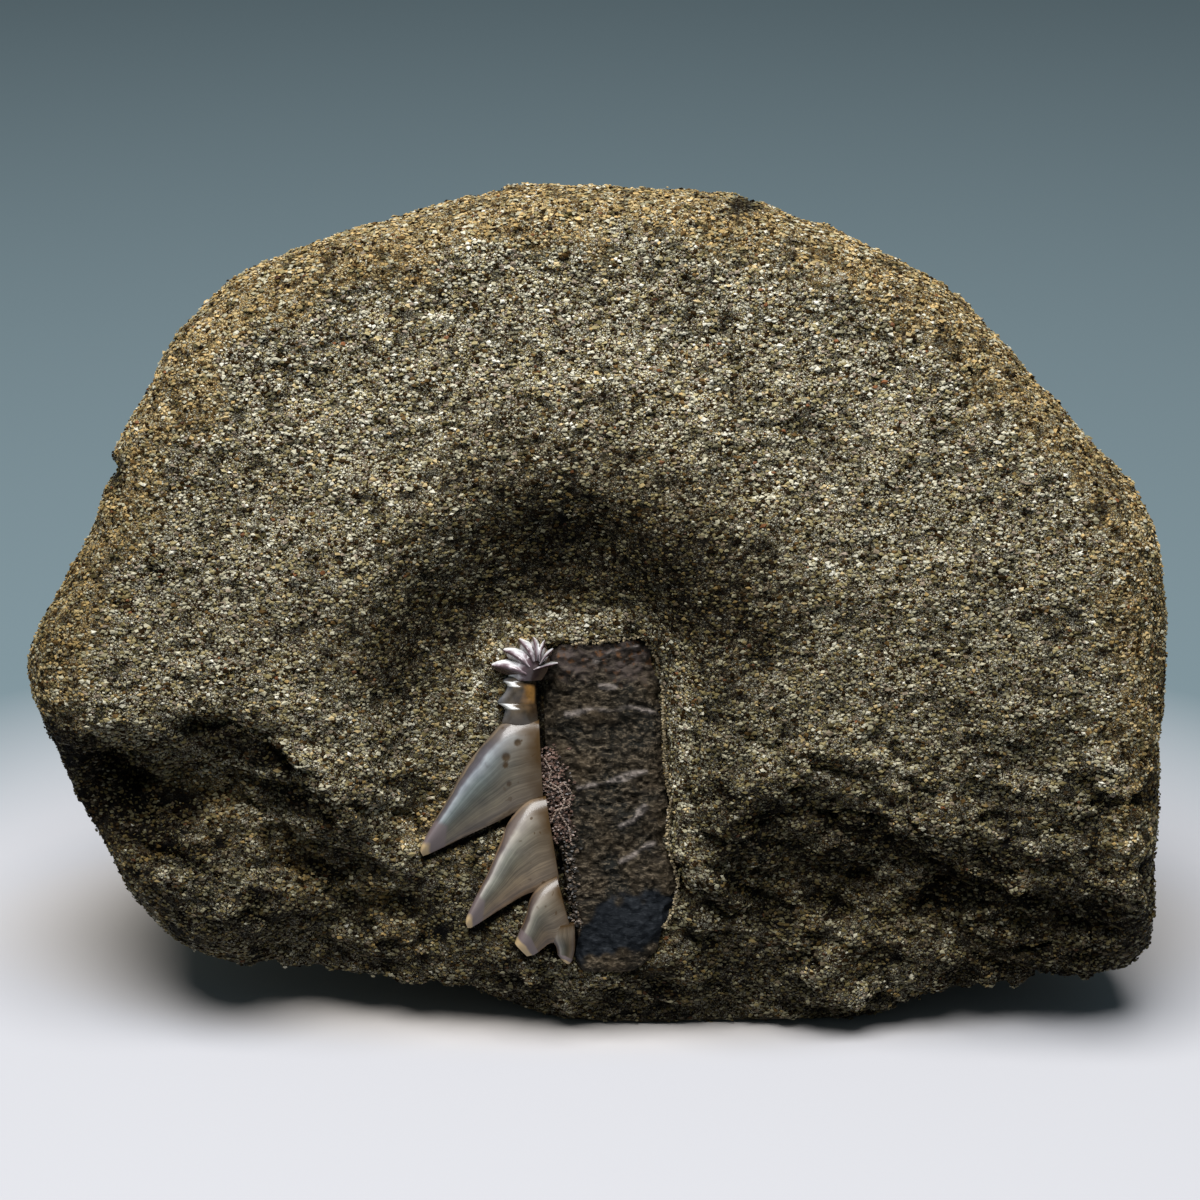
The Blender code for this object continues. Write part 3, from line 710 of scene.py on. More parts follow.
def sandstone(settings, spacing):
    """The bare stone between and behind the grains, with small flat grains of the same tones."""
    made = Finish("sandstone", roughness=0.85, specular=0.06)
    place = made.place()
    cells = made.node("TexVoronoi", Vector=place, Scale=1.4 / spacing)
    edges = made.node("TexVoronoi", {"feature": "DISTANCE_TO_EDGE"}, Vector=place, Scale=1.4 / spacing)
    draw = made.parts(cells.outputs["Color"])[0]
    face, rind, dark = (made.ramp(draw, tone_stops(column), "CONSTANT") for column in range(3))
    in_rind, in_shade_and_stain, painted_light_and_tone = (made.attribute(name) for name in ("rind", "shade_and_stain", "painted_light_and_tone"))
    # Under the painted shade and stains the tones turn to the darker mix
    colour = made.mix(in_shade_and_stain, made.mix(in_rind, face, rind), dark)
    fill = made.mix(in_rind, settings.cement, settings.rind)
    gap = made.ramp(edges.outputs["Distance"], ((0.05, 1.0), (0.17, 0.0)))
    colour = made.mix(gap, colour, fill)
    patches = made.noise_ramp(place, 3.0 * MM, (0.3, 0.72), (0.7, 1.18))
    # The painted light and shade, with random tone, over the bare stone
    colour = made.tinted(made.tinted(colour, patches), painted_light_and_tone)
    normal = made.bump(edges.outputs["Distance"], 0.9, 0.12 * MM)
    return made.done(colour, normal)


class FOSSIL_OT_stone(Operator):
    """Model the broken half of the nodule around the tooth"""

    bl_idname = "fossil.stone"
    bl_label = "Sandstone"

    def execute(self, context):
        settings = context.scene.fossil_stone
        stone = merged_copy("sandstone_matrix", "stone")
        beds = make_beds()
        make_active(stone)
        for bed in beds:
            bed.select_set(True)
        bpy.ops.object.join()
        apply_modifier(stone, "REMESH", mode="VOXEL", voxel_size=settings.fineness)
        roughen(stone, settings)
        make_active(stone)
        bpy.ops.object.shade_smooth()
        places = corner_places(stone.data)
        rind, shade_and_stain, painted_light_and_tone = stone_zones(places)
        for name, values in (("rind", rind), ("shade_and_stain", shade_and_stain), ("painted_light_and_tone", painted_light_and_tone)):
            set_attribute(stone.data, name, values)
        stone.data.materials.append(sandstone(settings, context.scene.fossil_grains.spacing))
        finish_piece(stone, "sandstone", "sandstone_matrix")
        return {"FINISHED"}


def scatter_tree(settings):
    """Nodes that spread points evenly over a surface and keep the way that it faces."""
    tree = bpy.data.node_groups.new("spread_grains", "GeometryNodeTree")
    tree.interface.new_socket("Geometry", in_out="INPUT", socket_type="NodeSocketGeometry")
    tree.interface.new_socket("Geometry", in_out="OUTPUT", socket_type="NodeSocketGeometry")
    surface = tree.nodes.new("NodeGroupInput")
    cover = tree.nodes.new("GeometryNodeInputNamedAttribute")
    cover.inputs["Name"].default_value = "cover"
    spread = tree.nodes.new("GeometryNodeDistributePointsOnFaces")
    spread.distribute_method = "POISSON"
    spread.inputs["Distance Min"].default_value = settings.spacing
    spread.inputs["Density Max"].default_value = 2.2 / settings.spacing**2
    spread.inputs["Seed"].default_value = settings.seed
    keep = tree.nodes.new("GeometryNodeStoreNamedAttribute")
    keep.data_type = "FLOAT_VECTOR"
    keep.inputs["Name"].default_value = "facing"
    corners = tree.nodes.new("GeometryNodePointsToVertices")
    out = tree.nodes.new("NodeGroupOutput")
    for start, end in (
        (surface.outputs[0], spread.inputs["Mesh"]),
        (cover.outputs["Attribute"], spread.inputs["Density Factor"]),
        (spread.outputs["Points"], keep.inputs["Geometry"]), (spread.outputs["Normal"], keep.inputs["Value"]),
        (keep.outputs["Geometry"], corners.inputs["Points"]), (corners.outputs[0], out.inputs[0]),
    ):
        tree.links.new(start, end)
    return tree


def spread_points(surface, settings):
    """Places and facings of the grains over a surface."""
    places = corner_places(surface.data)
    spots = to_face(places)
    front = smooth_step(spots[:, 2], -7.0, -2.0)
    cover = settings.back_cover + (1.0 - settings.back_cover) * front
    cover = cover * smooth_step(places[:, 2], 0.25 * MM, 0.6 * MM)
    carrier = add_mesh_object("grain_places", surface.data.copy())
    set_attribute(carrier.data, "cover", cover)
    modifier = carrier.modifiers.new("Spread", "NODES")
    modifier.node_group = scatter_tree(settings)
    bpy.ops.object.modifier_apply(modifier=modifier.name)
    points = corner_places(carrier.data)
    facings = np.empty(len(points) * 3, np.float32)
    carrier.data.attributes["facing"].data.foreach_get("vector", facings)
    bpy.data.objects.remove(carrier)
    return points, facings.reshape(-1, 3)


def uncovered(points, pieces):
    """Which points have no tooth in front of them, looking out of the face."""
    trees = [BVHTree.FromObject(piece, bpy.context.evaluated_depsgraph_get()) for piece in pieces]
    spots = to_face(points)
    free = np.ones(len(points), bool)
    for index in np.flatnonzero((np.abs(spots[:, 0] + 3.0) < 11.0) & (np.abs(spots[:, 1]) < 15.0)):
        start = Vector(points[index])
        free[index] = not any(tree.ray_cast(start, OUT_OF_FACE)[0] for tree in trees)
    return free


def random_turns(count, draws):
    """Evenly random turning matrices."""
    q = draws.normal(size=(count, 4))
    w, x, y, z = (q / np.linalg.norm(q, axis=1)[:, None]).T
    return np.stack([
        1 - 2 * (y * y + z * z), 2 * (x * y - z * w), 2 * (x * z + y * w),
        2 * (x * y + z * w), 1 - 2 * (x * x + z * z), 2 * (y * z - x * w),
        2 * (x * z - y * w), 2 * (y * z + x * w), 1 - 2 * (x * x + y * y),
    ], axis=1).reshape(-1, 3, 3)


GRAIN_CORNERS = np.array([(1, 0, 0), (-1, 0, 0), (0, 1, 0), (0, -1, 0), (0, 0, 1), (0, 0, -1)]) * 0.62
GRAIN_FACES = np.array([
    (0, 2, 4), (2, 1, 4), (1, 3, 4), (3, 0, 4), (2, 0, 5), (1, 2, 5), (3, 1, 5), (0, 3, 5),
])
GRAIN_STRETCH = np.array((1.25, 1.0, 0.9))


def grain_mesh(name, places, widths, draws, facings=None):
    """One mesh of angular grains, each turned and dented its own way, and flattened along its facing."""
    count = len(places)
    corners = GRAIN_CORNERS * draws.uniform(0.7, 1.1, (count, 1, 3))
    corners = corners * draws.uniform(0.65, 1.25, (count, 6, 1)) * widths[:, None, None]
    corners = np.einsum("nij,nkj->nki", random_turns(count, draws), corners) * GRAIN_STRETCH
    if facings is not None:
        corners -= 0.42 * np.einsum("nkj,nj->nk", corners, facings)[:, :, None] * facings[:, None]
    corners += places[:, None]
    corners = np.clip(corners, np.array(CAD_BOX[0]), np.array(CAD_BOX[1]))
    faces = GRAIN_FACES + 6 * np.arange(count)[:, None, None]
    mesh = bpy.data.meshes.new(name)
    mesh.from_pydata(corners.reshape(-1, 3).tolist(), [], faces.reshape(-1, 3).tolist())
    return mesh


def grain_materials(tone):
    """A lit or shaded copy of a grain tone for each shade of painted light, the darker the warmer."""
    name, colour, roughness, specular, _ = tone
    made = []
    for number, shade in enumerate(SHADES):
        finish = Finish(f"{name}_{number}", roughness=roughness, specular=specular)
        made.append(finish.done(tuple(c * shade**warm for c, warm in zip(linear(colour), SHADE_WARMTH))))
    return made


def bare_points(settings):
    """Places and facings of the grains that neither the tooth nor a gap beside it takes away."""
    points, facings = spread_points(bpy.data.objects["stone"], settings)
    free = uncovered(points, [bpy.data.objects["crown"], bpy.data.objects["root"]])
    spots = to_face(points)
    for line, width in GAPS:
        free &= (distance_to_line(spots[:, :2], line) > width) | (spots[:, 2] < -3.0)
    return points[free], facings[free]


def pick_tones(points, draws):
    """The tone of each grain, and the shade of painted light that picks its copy."""
    rind, shade_and_stain, painted_light_and_tone = (zone[:, None] for zone in stone_zones(points))
    shares = np.array([tone[-1] for tone in GRAIN_TONES])
    mixed = (1 - shade_and_stain) * ((1 - rind) * shares[:, 0] + rind * shares[:, 1]) + shade_and_stain * shares[:, 2]
    limits = np.cumsum(mixed / mixed.sum(axis=1)[:, None], axis=1)
    picks = (limits < draws.uniform(size=(len(points), 1))).sum(axis=1)
    painted_light_and_tone = painted_light_and_tone[:, 0] * draws.uniform(0.78, 1.26, len(points))
    return picks, np.abs(np.subtract.outer(painted_light_and_tone, SHADES)).argmin(axis=1)


def grain_widths(count, settings, draws):
    """Widths of the grains, a share of them small."""
    middle = 0.5 * (settings.smallest + settings.largest)
    small = draws.uniform(0.75 * settings.smallest, 0.8 * middle, count)
    widths = draws.triangular(0.75 * middle, middle, settings.largest, count)
    return np.where(draws.uniform(size=count) < SMALL_SHARE, small, widths)


def add_grain_piece(mesh, materials, picks, slot):
    """Makes a piece of a mesh of grains, with a material for each grain."""
    for material in materials:
        mesh.materials.append(material)
    mesh.polygons.foreach_set("material_index", np.repeat(picks, len(GRAIN_FACES)))
    finish_piece(add_mesh_object(mesh.name, mesh), slot)


class FOSSIL_OT_grains(Operator):
    """Cover the stone with sand grains, a piece for each tone"""

    bl_idname = "fossil.grains"
    bl_label = "Sand grains"

    def execute(self, context):
        settings = context.scene.fossil_grains
        draws = np.random.default_rng(settings.seed)
        points, facings = bare_points(settings)
        picks, shades = pick_tones(points, draws)
        widths = grain_widths(len(points), settings, draws)
        rise = settings.proud + 0.16 * MM * lumps(points / MM, 0.9, 5.0)
        rise += draws.normal(0.0, 0.05 * MM, len(points))
        rise -= 0.05 * MM * crevices(to_face(points))
        places = points + facings * rise[:, None]
        for number, tone in enumerate(GRAIN_TONES):
            mine = picks == number
            mesh = grain_mesh(f"{tone[0]}_grains", places[mine], widths[mine], draws, facings[mine])
            add_grain_piece(mesh, grain_materials(tone), shades[mine], "sandstone")
        return {"FINISHED"}


def along_line(line, shares):
    """Places at those shares of an open line's length."""
    line = np.asarray(line, float)
    lengths = np.concatenate([[0.0], np.cumsum(np.linalg.norm(np.diff(line, axis=0), axis=1))])
    return np.column_stack([np.interp(shares * lengths[-1], lengths, axis) for axis in line.T])


class FOSSIL_OT_crumbs(Operator):
    """Fill the groove between crown and root with broken bits, and line the root's edge with pale grains"""

    bl_idname = "fossil.crumbs"
    bl_label = "Crumbs"

    def execute(self, context):
        draws = np.random.default_rng(CRUMB_SEED)
        for name, line, count, spread, level, smallest, largest, tones in CRUMBS:
            spots = along_line(line, draws.uniform(size=count))
            spots = spots + draws.normal(size=(count, 3)) * (spread, spread, CRUMB_DEPTH) + (0.0, 0.0, level)
            places = spots @ np.array(FACE.to_3x3()).T + np.array(TOOTH_MIDDLE)
            mesh = grain_mesh(name, places, draws.uniform(smallest, largest, count) * MM, draws)
            materials = [
                Finish(f"{name}_{number}", roughness).done(linear(colour))
                for number, (colour, roughness) in enumerate(tones)]
            add_grain_piece(mesh, materials, draws.integers(len(tones), size=count), "root")
        return {"FINISHED"}


def smooth_line(points, shares):
    """Places at those shares of the way along a smooth line through evenly counted points."""
    points = np.asarray(points, float)
    where = np.clip(shares, 0.0, 1.0) * (len(points) - 1)
    start = np.minimum(where.astype(int), len(points) - 2)
    t = (where - start)[:, None]
    p0, p1 = points[np.maximum(start - 1, 0)], points[start]
    p2, p3 = points[start + 1], points[np.minimum(start + 2, len(points) - 1)]
    squared, cubed = 2 * p0 - 5 * p1 + 4 * p2 - p3, 3 * p1 - p0 - 3 * p2 + p3
    return 0.5 * (2 * p1 + (p2 - p0) * t + squared * t**2 + cubed * t**3)


def sheet(name, stations, columns, rows, height_at, depth):
    """A grid laid between two edges and thickened downwards, with columns across and rows up to the tip."""
    deselect()
    bpy.ops.mesh.primitive_grid_add(x_subdivisions=columns, y_subdivisions=rows, size=1.0)
    piece = bpy.context.object
    piece.name = piece.data.name = name
    places = corner_places(piece.data)
    across, along = places[:, 0] + 0.5, places[:, 1] + 0.5
    edge_a = smooth_line([station[0] for station in stations], along)
    edge_b = smooth_line([station[1] for station in stations], along)
    flat = edge_a + (edge_b - edge_a) * across[:, None]
    places = np.column_stack([flat, height_at(flat, across, along)])
    set_corner_places(piece.data, places)
    bpy.ops.object.mode_set(mode="EDIT")
    bpy.ops.mesh.select_all(action="SELECT")
    bpy.ops.mesh.extrude_region_move(TRANSFORM_OT_translate={"value": (0.0, 0.0, -depth)})
    bpy.ops.mesh.select_all(action="SELECT")
    bpy.ops.mesh.normals_make_consistent(inside=False)
    bpy.ops.object.mode_set(mode="OBJECT")
    return piece


def cusp(name, stations, columns, rows, ridge=0.3, depth=1.3):
    """A sheet whose ridge runs at that share of the way across, with the pits that lie on it."""
    heights = [(station[2], 0.0) for station in stations]
    power = math.log(0.5) / math.log(ridge)

    def height_at(flat, across, along):
        rise = np.maximum(np.sin(math.pi * across**power), 0.0) ** 0.9
        height = smooth_line(heights, along)[:, 0] * rise
        for middle, radius, pit in PITS:
            height -= pit * bell(np.linalg.norm(flat - middle, axis=1) / radius)
        return height + 0.2

    piece = sheet(name, stations, columns, rows, height_at, depth)
    flat = corner_places(piece.data)[:, :2]
    worn = np.zeros(len(flat))
    for middle, radius, _ in PITS:
        worn = np.maximum(worn, bell(np.linalg.norm(flat - middle, axis=1) / (1.3 * radius)))
    set_attribute(piece.data, "worn", worn)
    return piece


def spine_stations(foot, tip, half_width, height):
    """Stations of one small spine of the fan, with its upper edge first."""
    foot, tip = np.array(foot), np.array(tip)
    along = tip - foot
    side = np.array((-along[1], along[0])) / np.linalg.norm(along)
    side = side if side[1] > 0.0 else -side
    stations = []
    for share, width, rise in SPINE_PROFILE:
        place = foot + along * share + side * 0.25 * half_width * math.sin(math.pi * share)
        stations.append((place + side * half_width * width, place - side * half_width * width, height * rise))
    return stations


def unite(parts, name):
    """One closed body of several."""
    whole = parts[0]
    for part in parts[1:]:
        apply_modifier(whole, "BOOLEAN", operation="UNION", object=part, solver="MANIFOLD")
        bpy.data.objects.remove(part)
    whole.name = whole.data.name = name
    return whole


def enamel(settings, name, tint):
    """Translucent enamel: striations, a painted reflection band, a violet zone, a cream tip and amber at its
    foot.
    """
    made = Finish(name, roughness=0.28, specular=0.34, coat=0.08)
    made.shader.inputs["Coat Roughness"].default_value = 0.08
    uv, place = made.uv(), made.place()
    across, along, _ = made.parts(uv)
    drift = made.times(made.math("SUBTRACT", made.noise(place, 2.2 * MM), 0.5), 0.16)
    over = made.plus(across, drift)
    # The colours across the cusp hold a painted reflection band
    colour = made.tinted(made.ramp(over, ACROSS_CUSP), tint)
    wander = made.node("TexNoise", Vector=place, Scale=1.0 / (1.6 * MM)).outputs["Color"]
    bent_uv = made.mix(0.05, uv, wander, "ADD")
    streaks = made.noise(made.mapped(bent_uv, Scale=(30.0, 1.5, 1.0)), 1.0, 4.0, 0.7)
    cloud = made.noise_ramp(place, 1.3 * MM, (0.35, (0.82, 0.80, 0.80)), (0.65, (1.2, 1.18, 1.12)))
    colour = made.tinted(colour, cloud)
    worn = made.plus(along, made.times(drift, 1.6))
    colour = made.mix(made.ramp(worn, ((0.05, 0.8), (0.20, 0.55), (0.42, 0.0))), colour, settings.beige)
    streaked = made.tinted(colour, made.ramp(streaks, ((0.36, 0.5), (0.64, 1.4))))
    colour = made.mix(made.ramp(over, ((0.25, 0.15), (0.5, 0.9), (0.85, 0.7))), colour, streaked)
    off_middle = made.math("ABSOLUTE", made.math("SUBTRACT", across, 0.5))
    bent = made.math("SUBTRACT", along, made.times(off_middle, 0.1))
    colour = made.mix(made.ramp(bent, ((0.66, 0.0), (0.68, 0.8), (0.76, 0.9))), colour, settings.violet)
    colour = made.mix(made.ramp(made.plus(bent, drift), ((0.78, 0.0), (0.82, 1.0))), colour, settings.tip)
    colour = made.mix(made.ramp(worn, ((0.01, 1.0), (0.09, 0.45), (0.20, 0.0))), colour, settings.amber)
    specks = made.ramp(made.noise(place, 0.55 * MM, 1.0), ((0.69, 0.0), (0.73, 0.8)))
    near_foot = made.ramp(along, ((0.15, 1.0), (0.45, 0.0)))
    colour = made.mix(made.times(specks, near_foot), colour, settings.amber)
    colour = made.mix(made.ramp(made.attribute("worn"), ((0.25, 0.0), (0.6, 0.9))), colour, PIT_BROWN)
    return made.done(colour, made.bump(streaks, 0.2, 0.03 * MM))


def neck_enamel(settings):
    """Glassy amber with a blue-grey left side and two painted white glints."""
    made = Finish("neck_enamel", roughness=0.22, specular=0.35, coat=0.2)
    across, along, _ = made.parts(made.uv())
    mottle = made.noise(made.place(), 0.7 * MM)
    colour = made.ramp(made.plus(across, made.times(mottle, 0.2)), (
        (0.12, (0.072, 0.077, 0.087)), (0.35, (0.068, 0.054, 0.040)), (0.7, (0.046, 0.032, 0.019)),
        (0.88, (0.04, 0.025, 0.013)), (1.0, (0.02, 0.012, 0.006))))
    glow = made.times(made.ramp(across, ((0.55, 0.0), (0.78, 1.0), (0.92, 0.8), (0.98, 0.0))),
                      made.ramp(along, ((0.20, 0.0), (0.28, 1.0), (0.44, 1.0), (0.55, 0.0))))
    colour = made.mix(glow, colour, (0.24, 0.12, 0.032))
    colour = made.tinted(colour, made.ramp(mottle, ((0.3, 0.5), (0.7, 1.6))))
    # Painted highlights: two white glints on the steps of the left side
    painted_glints = made.ramp(along, (
        (0.17, 0.0), (0.19, 1.0), (0.26, 1.0), (0.28, 0.0),
        (0.53, 0.0), (0.56, 1.0), (0.62, 1.0), (0.65, 0.0)))
    left = made.ramp(made.plus(across, made.times(mottle, 0.3)), ((0.42, 1.0), (0.58, 0.0)))
    colour = made.mix(made.times(painted_glints, left), colour, (0.85, 0.84, 0.82))
    return made.done(made.mix(made.ramp(along, ((0.66, 0.0), (0.84, 0.9))), colour, (0.070, 0.057, 0.045)))


def spine_enamel(settings):
    """White and glossy above, violet brown below, partly painted light above and painted shade below."""
    made = Finish("spine_enamel", roughness=0.22, specular=0.35, coat=0.2)
    across, _, _ = made.parts(made.uv())
    mottle = made.math("SUBTRACT", made.noise(made.place(), 0.5 * MM), 0.5)
    return made.done(made.ramp(made.plus(across, made.times(mottle, 0.5)), (
        (0.0, (0.88, 0.87, 0.86)), (0.16, settings.spines), (0.30, (0.27, 0.23, 0.245)),
        (0.44, (0.08, 0.050, 0.058)), (0.7, (0.040, 0.024, 0.022)), (1.0, (0.10, 0.065, 0.045)))))


def crown_groups():
    """The bodies of the crown, in a group for each finish."""
    fan = [cusp("fan_body", FAN_BODY, 24, 24, ridge=0.45)]
    for number, spine in enumerate(SPINES):
        fan.append(cusp(f"spine_{number}", spine_stations(*spine), 12, 20, ridge=0.42))
    return [
        [cusp("first_cusp", FIRST_CUSP, 44, 64)],
        [cusp("second_cusp", SECOND_CUSP, 40, 56)],
        [cusp("third_cusp", THIRD_CUSP, 30, 36)],
        [cusp("fourth_stub", FOURTH_STUB, 14, 16, ridge=0.5)],
        [cusp("neck", NECK, 24, 60, ridge=0.42)],
        fan,
    ]


def finish_tooth_part(part, slot):
    """Lays a part of the tooth in its place on the broken face and smooths it."""
    part.data.transform(FACE)
    make_active(part)
    bpy.ops.object.shade_smooth_by_angle(angle=SMOOTH_ANGLE)
    finish_piece(part, slot, "tooth")


class FOSSIL_OT_crown(Operator):
    """Model the enamel crown: three cusps, the stub of a fourth, the neck and its fan of spines"""

    bl_idname = "fossil.crown"
    bl_label = "Crown"

    def execute(self, context):
        settings = context.scene.fossil_tooth
        groups = crown_groups()
        finishes = [
            enamel(settings, "first_enamel", (1.0, 1.0, 1.0)),
            enamel(settings, "second_enamel", (1.45, 1.25, 1.06)),
            enamel(settings, "third_enamel", (0.95, 0.79, 0.64)),
            enamel(settings, "stub_enamel", (0.55, 0.46, 0.38)),
            neck_enamel(settings), spine_enamel(settings),
        ]
        for number, group in enumerate(groups):
            for part in group:
                for finish in finishes:
                    part.data.materials.append(finish)
                part.data.polygons.foreach_set("material_index", np.full(len(part.data.polygons), number))
        crown = unite([part for group in groups for part in group], "crown")
        finish_tooth_part(crown, "enamel")
        return {"FINISHED"}


def root_height(flat, across, along):
    """Height of the root's surface: lumps, thin steps, raised lines, round edges and a swelling low down."""
    spots = np.column_stack([flat, np.zeros(len(flat))])
    wave = lumps(spots, 3.6, 3.0)
    phase = (flat[:, 1] - 0.3 * flat[:, 0] + 1.6 * wave) / 0.8
    height = ROOT_LEVEL + 0.5 * lumps(spots, 3.2, 9.0) + 0.30 * lumps(spots, 0.8, 17.0)
    height += 0.26 * lumps(spots, 0.36, 53.0)
    height += 0.16 * (phase % 1.0 - 0.5) * smooth_step(lumps(spots, 1.9, 29.0), -0.1, 0.3)
    for line in ROOT_LINES:
        height += 0.16 * bell((distance_to_line(flat, line) + 0.25 * wave) / 0.2)
    ragged = 0.06 * lumps(spots, 0.9, 61.0)
    rounding = 0.45 * (1.0 - smooth_step(np.minimum(across, 1.0 - across) + ragged, 0.0, 0.08))
    rounding += 0.35 * (1.0 - smooth_step(np.minimum(along, 1.0 - along) + 0.5 * ragged, 0.0, 0.03))
    swelling = 0.5 * np.exp(-(((flat[:, 0] - 3.9) / 2.4) ** 2.0 + ((flat[:, 1] + 9.6) / 2.2) ** 2.0))
    calm = ROOT_LEVEL + 0.6 * (height - ROOT_LEVEL)
    height = np.where(flat[:, 1] < ROOT_BEND, calm, height)
    return np.minimum(height, 0.1) - rounding + swelling


def mark_root(mesh):
    """Marks the pale lines, the blue band and the reddish top of the root."""
    spots = corner_places(mesh)
    wave = lumps(spots, 0.9, 3.0)
    pale = np.zeros(len(spots))
    for line in ROOT_LINES:
        pale = np.maximum(pale, bell((distance_to_line(spots[:, :2], line) + 0.25 * wave) / 0.13))
    under_top = np.interp(spots[:, 0], *zip(*BLUE_TOP)) - spots[:, 1] + 0.8 * wave
    over_foot = spots[:, 1] - np.interp(spots[:, 0], *zip(*BLUE_FOOT)) + 0.9 * wave
    set_attribute(mesh, "pale", pale)
    set_attribute(mesh, "blue", smooth_step(under_top, -0.2, 0.4) * smooth_step(over_foot, -0.3, 0.5))
    set_attribute(mesh, "top", smooth_step(spots[:, 1] + wave, 8.2, 10.6))


def root_finish(settings):
    """Dark and granular, with pale specks and lines, and a blue-black lower end."""
    made = Finish("root", roughness=0.75, specular=0.07)
    place, top = made.place(), made.attribute("top")
    slanted = made.mapped(place, Rotation=(0.0, math.radians(21.0), 0.0), Scale=(0.4, 1.0, 1.0))
    fine = made.noise(slanted, 0.24 * MM, 3.0, 0.7)
    ground = made.noise_ramp(place, 2.2 * MM, (0.33, (0.0065, 0.0070, 0.0060)),
                             (0.5, settings.root), (0.68, (0.032, 0.023, 0.0135)))
    colour = made.mix(made.ramp(fine, ((0.50, 0.0), (0.72, 1.0))), ground, settings.root_pale)
    colour = made.mix(made.ramp(fine, ((0.32, 1.0), (0.45, 0.0))), colour, (0.004, 0.003, 0.002))
    shelf = made.times(top, made.noise_ramp(place, 1.1 * MM, (0.35, 0.15), (0.6, 0.8)))
    colour = made.mix(shelf, colour, (0.062, 0.048, 0.044))
    reddish = made.times(top, made.noise_ramp(place, 0.6 * MM, (0.55, 0.0), (0.65, 1.0)))
    colour = made.mix(reddish, colour, (0.09, 0.045, 0.022))
    line = made.times(made.attribute("pale"), made.ramp(fine, ((0.35, 0.35), (0.6, 1.0))))
    colour = made.mix(line, colour, (0.17, 0.145, 0.13))
    paler = made.ramp(fine, ((0.52, 0.0), (0.72, 1.0)))
    bluish = made.mix(paler, settings.root_blue, (0.018, 0.0205, 0.0235))
    colour = made.mix(made.attribute("blue"), colour, bluish)
    return made.done(colour, made.bump(fine, 0.9, 0.14 * MM))


class FOSSIL_OT_root(Operator):
    """Model the slab of the root beside the crown"""

    bl_idname = "fossil.root"
    bl_label = "Root"

    def execute(self, context):
        root = sheet("root", ROOT_STATIONS, 80, 200, root_height, 1.6)
        mark_root(root.data)
        root.data.materials.append(root_finish(context.scene.fossil_tooth))
        finish_tooth_part(root, "root")
        return {"FINISHED"}


def floor_finish(settings):
    """Pale round the stone, with a painted warmer tint in its shadow, and of the backdrop's colour further
    away.
    """
    made = Finish("floor", roughness=0.9, specular=0.2)
    x, y, _ = made.parts(made.place())

    def reach(up):
        return made.math("SQRT", made.plus(made.math("POWER", x, 2.0), made.math("POWER", up, 2.0)))

    far = made.ramp(reach(made.plus(y, 0.025)), ((0.064, 0.0), (0.094, 1.0)))
    shaded = made.ramp(reach(made.times(y, 2.2)), ((0.032, 1.0), (0.052, 0.0)))
    return made.done(made.mix(far, made.mix(shaded, settings.floor, settings.painted_shadow_tint), settings.backdrop))


def lay_floor(settings):
    deselect()
    bpy.ops.mesh.primitive_plane_add(size=6.0)
    floor = bpy.context.object
    floor.name = "floor"
    floor.data.materials.append(floor_finish(settings))


def light_up(settings):
    """An even backdrop all round and one soft light from above."""
    world = bpy.data.worlds.new("studio")
    world.use_nodes = True
    world.node_tree.nodes["Background"].inputs["Color"].default_value = (*settings.backdrop, 1.0)
    world.node_tree.nodes["Background"].inputs["Strength"].default_value = 1.0
    bpy.context.scene.world = world
    bpy.ops.object.light_add(type="AREA", location=LIGHT_PLACE)
    light = bpy.context.object
    light.name = "soft_light"
    light.data.shape = "DISK"
    light.data.size = LIGHT_SIZE
    light.data.energy = settings.power
    light.rotation_euler = (Vector(LIGHT_AIM) - light.location).to_track_quat("-Z", "Y").to_euler()


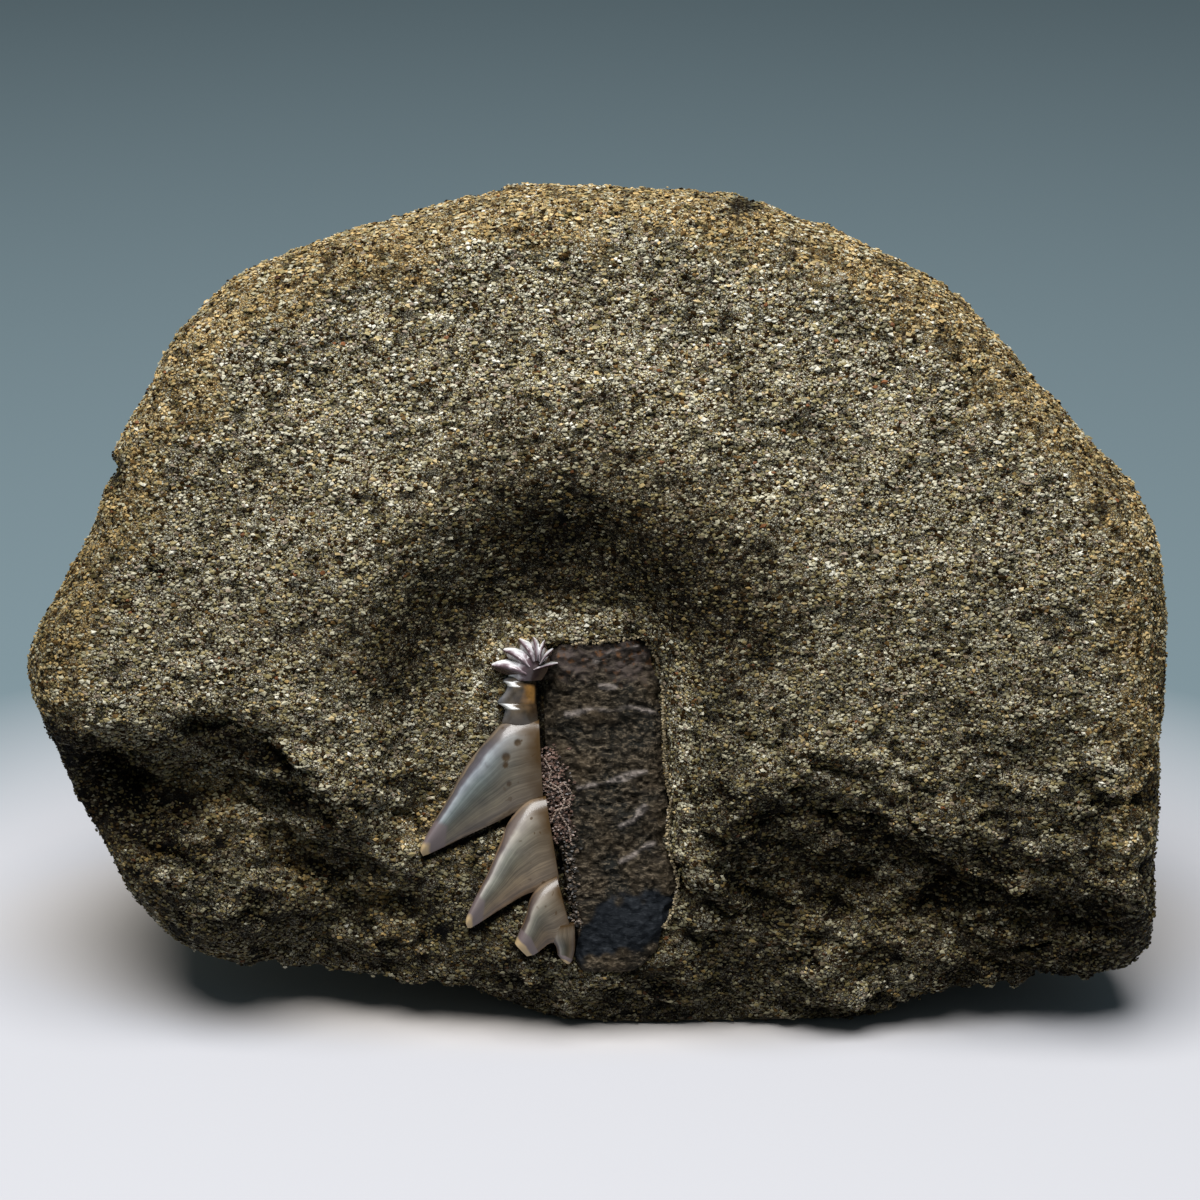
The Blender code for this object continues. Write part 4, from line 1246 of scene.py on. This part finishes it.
def set_up_camera(settings):
    """Looks at the stone from the front and a little above, with the tooth low in the picture."""
    back = Vector((0.0, -math.cos(settings.camera_height), math.sin(settings.camera_height)))
    up = Vector((0.0, math.sin(settings.camera_height), math.cos(settings.camera_height)))
    right = Vector((PICTURE_MIDDLE[0] / PIXELS_PER_MM, 0.0, 0.0)) * MM
    aim = TOOTH_MIDDLE + right + up * (PICTURE_MIDDLE[1] / PIXELS_PER_MM) * MM
    bpy.ops.object.camera_add(location=aim + back * settings.camera_distance)
    camera = bpy.context.object
    camera.rotation_euler = back.to_track_quat("Z", "Y").to_euler()
    camera.data.lens = camera.data.sensor_width / 2.0 * FOCAL_PIXELS / HALF_PICTURE
    camera.data.clip_start = 0.01
    bpy.context.scene.camera = camera
    bpy.context.scene.view_settings.view_transform = "Standard"


class FOSSIL_OT_stage(Operator):
    """Lay the floor, hang the light and set up the camera"""

    bl_idname = "fossil.stage"
    bl_label = "Stage"

    def execute(self, context):
        settings = context.scene.fossil_stage
        lay_floor(settings)
        light_up(settings)
        set_up_camera(settings)
        return {"FINISHED"}


class FOSSIL_PT_panel(Panel):
    """Lists the pieces of the fossil"""

    bl_label = "Fossil tooth"
    bl_idname = "FOSSIL_PT_panel"
    bl_space_type = "VIEW_3D"
    bl_region_type = "UI"
    bl_category = "Fossil"

    def draw(self, context):
        for step in STEPS:
            self.layout.operator(step.bl_idname)
        for group in GROUPS:
            settings = getattr(context.scene, group)
            box = self.layout.box()
            for name in settings.__annotations__:
                box.prop(settings, name)


STEPS = (
    FOSSIL_OT_crown, FOSSIL_OT_root, FOSSIL_OT_crumbs, FOSSIL_OT_stone, FOSSIL_OT_grains, FOSSIL_OT_stage,
)
GROUPS = {
    "fossil_stone": StoneSettings,
    "fossil_grains": GrainSettings,
    "fossil_tooth": ToothSettings,
    "fossil_stage": StageSettings,
}


def register():
    for made in (*GROUPS.values(), *STEPS, FOSSIL_PT_panel):
        bpy.utils.register_class(made)
    for name, group in GROUPS.items():
        setattr(bpy.types.Scene, name, PointerProperty(type=group))


def unregister():
    for name in GROUPS:
        delattr(bpy.types.Scene, name)
    for made in (FOSSIL_PT_panel, *reversed(STEPS), *reversed(GROUPS.values())):
        bpy.utils.unregister_class(made)


def main():
    register()
    for step in STEPS:
        group, name = step.bl_idname.split(".")
        getattr(getattr(bpy.ops, group), name)()


if __name__ == "__main__":
    main()
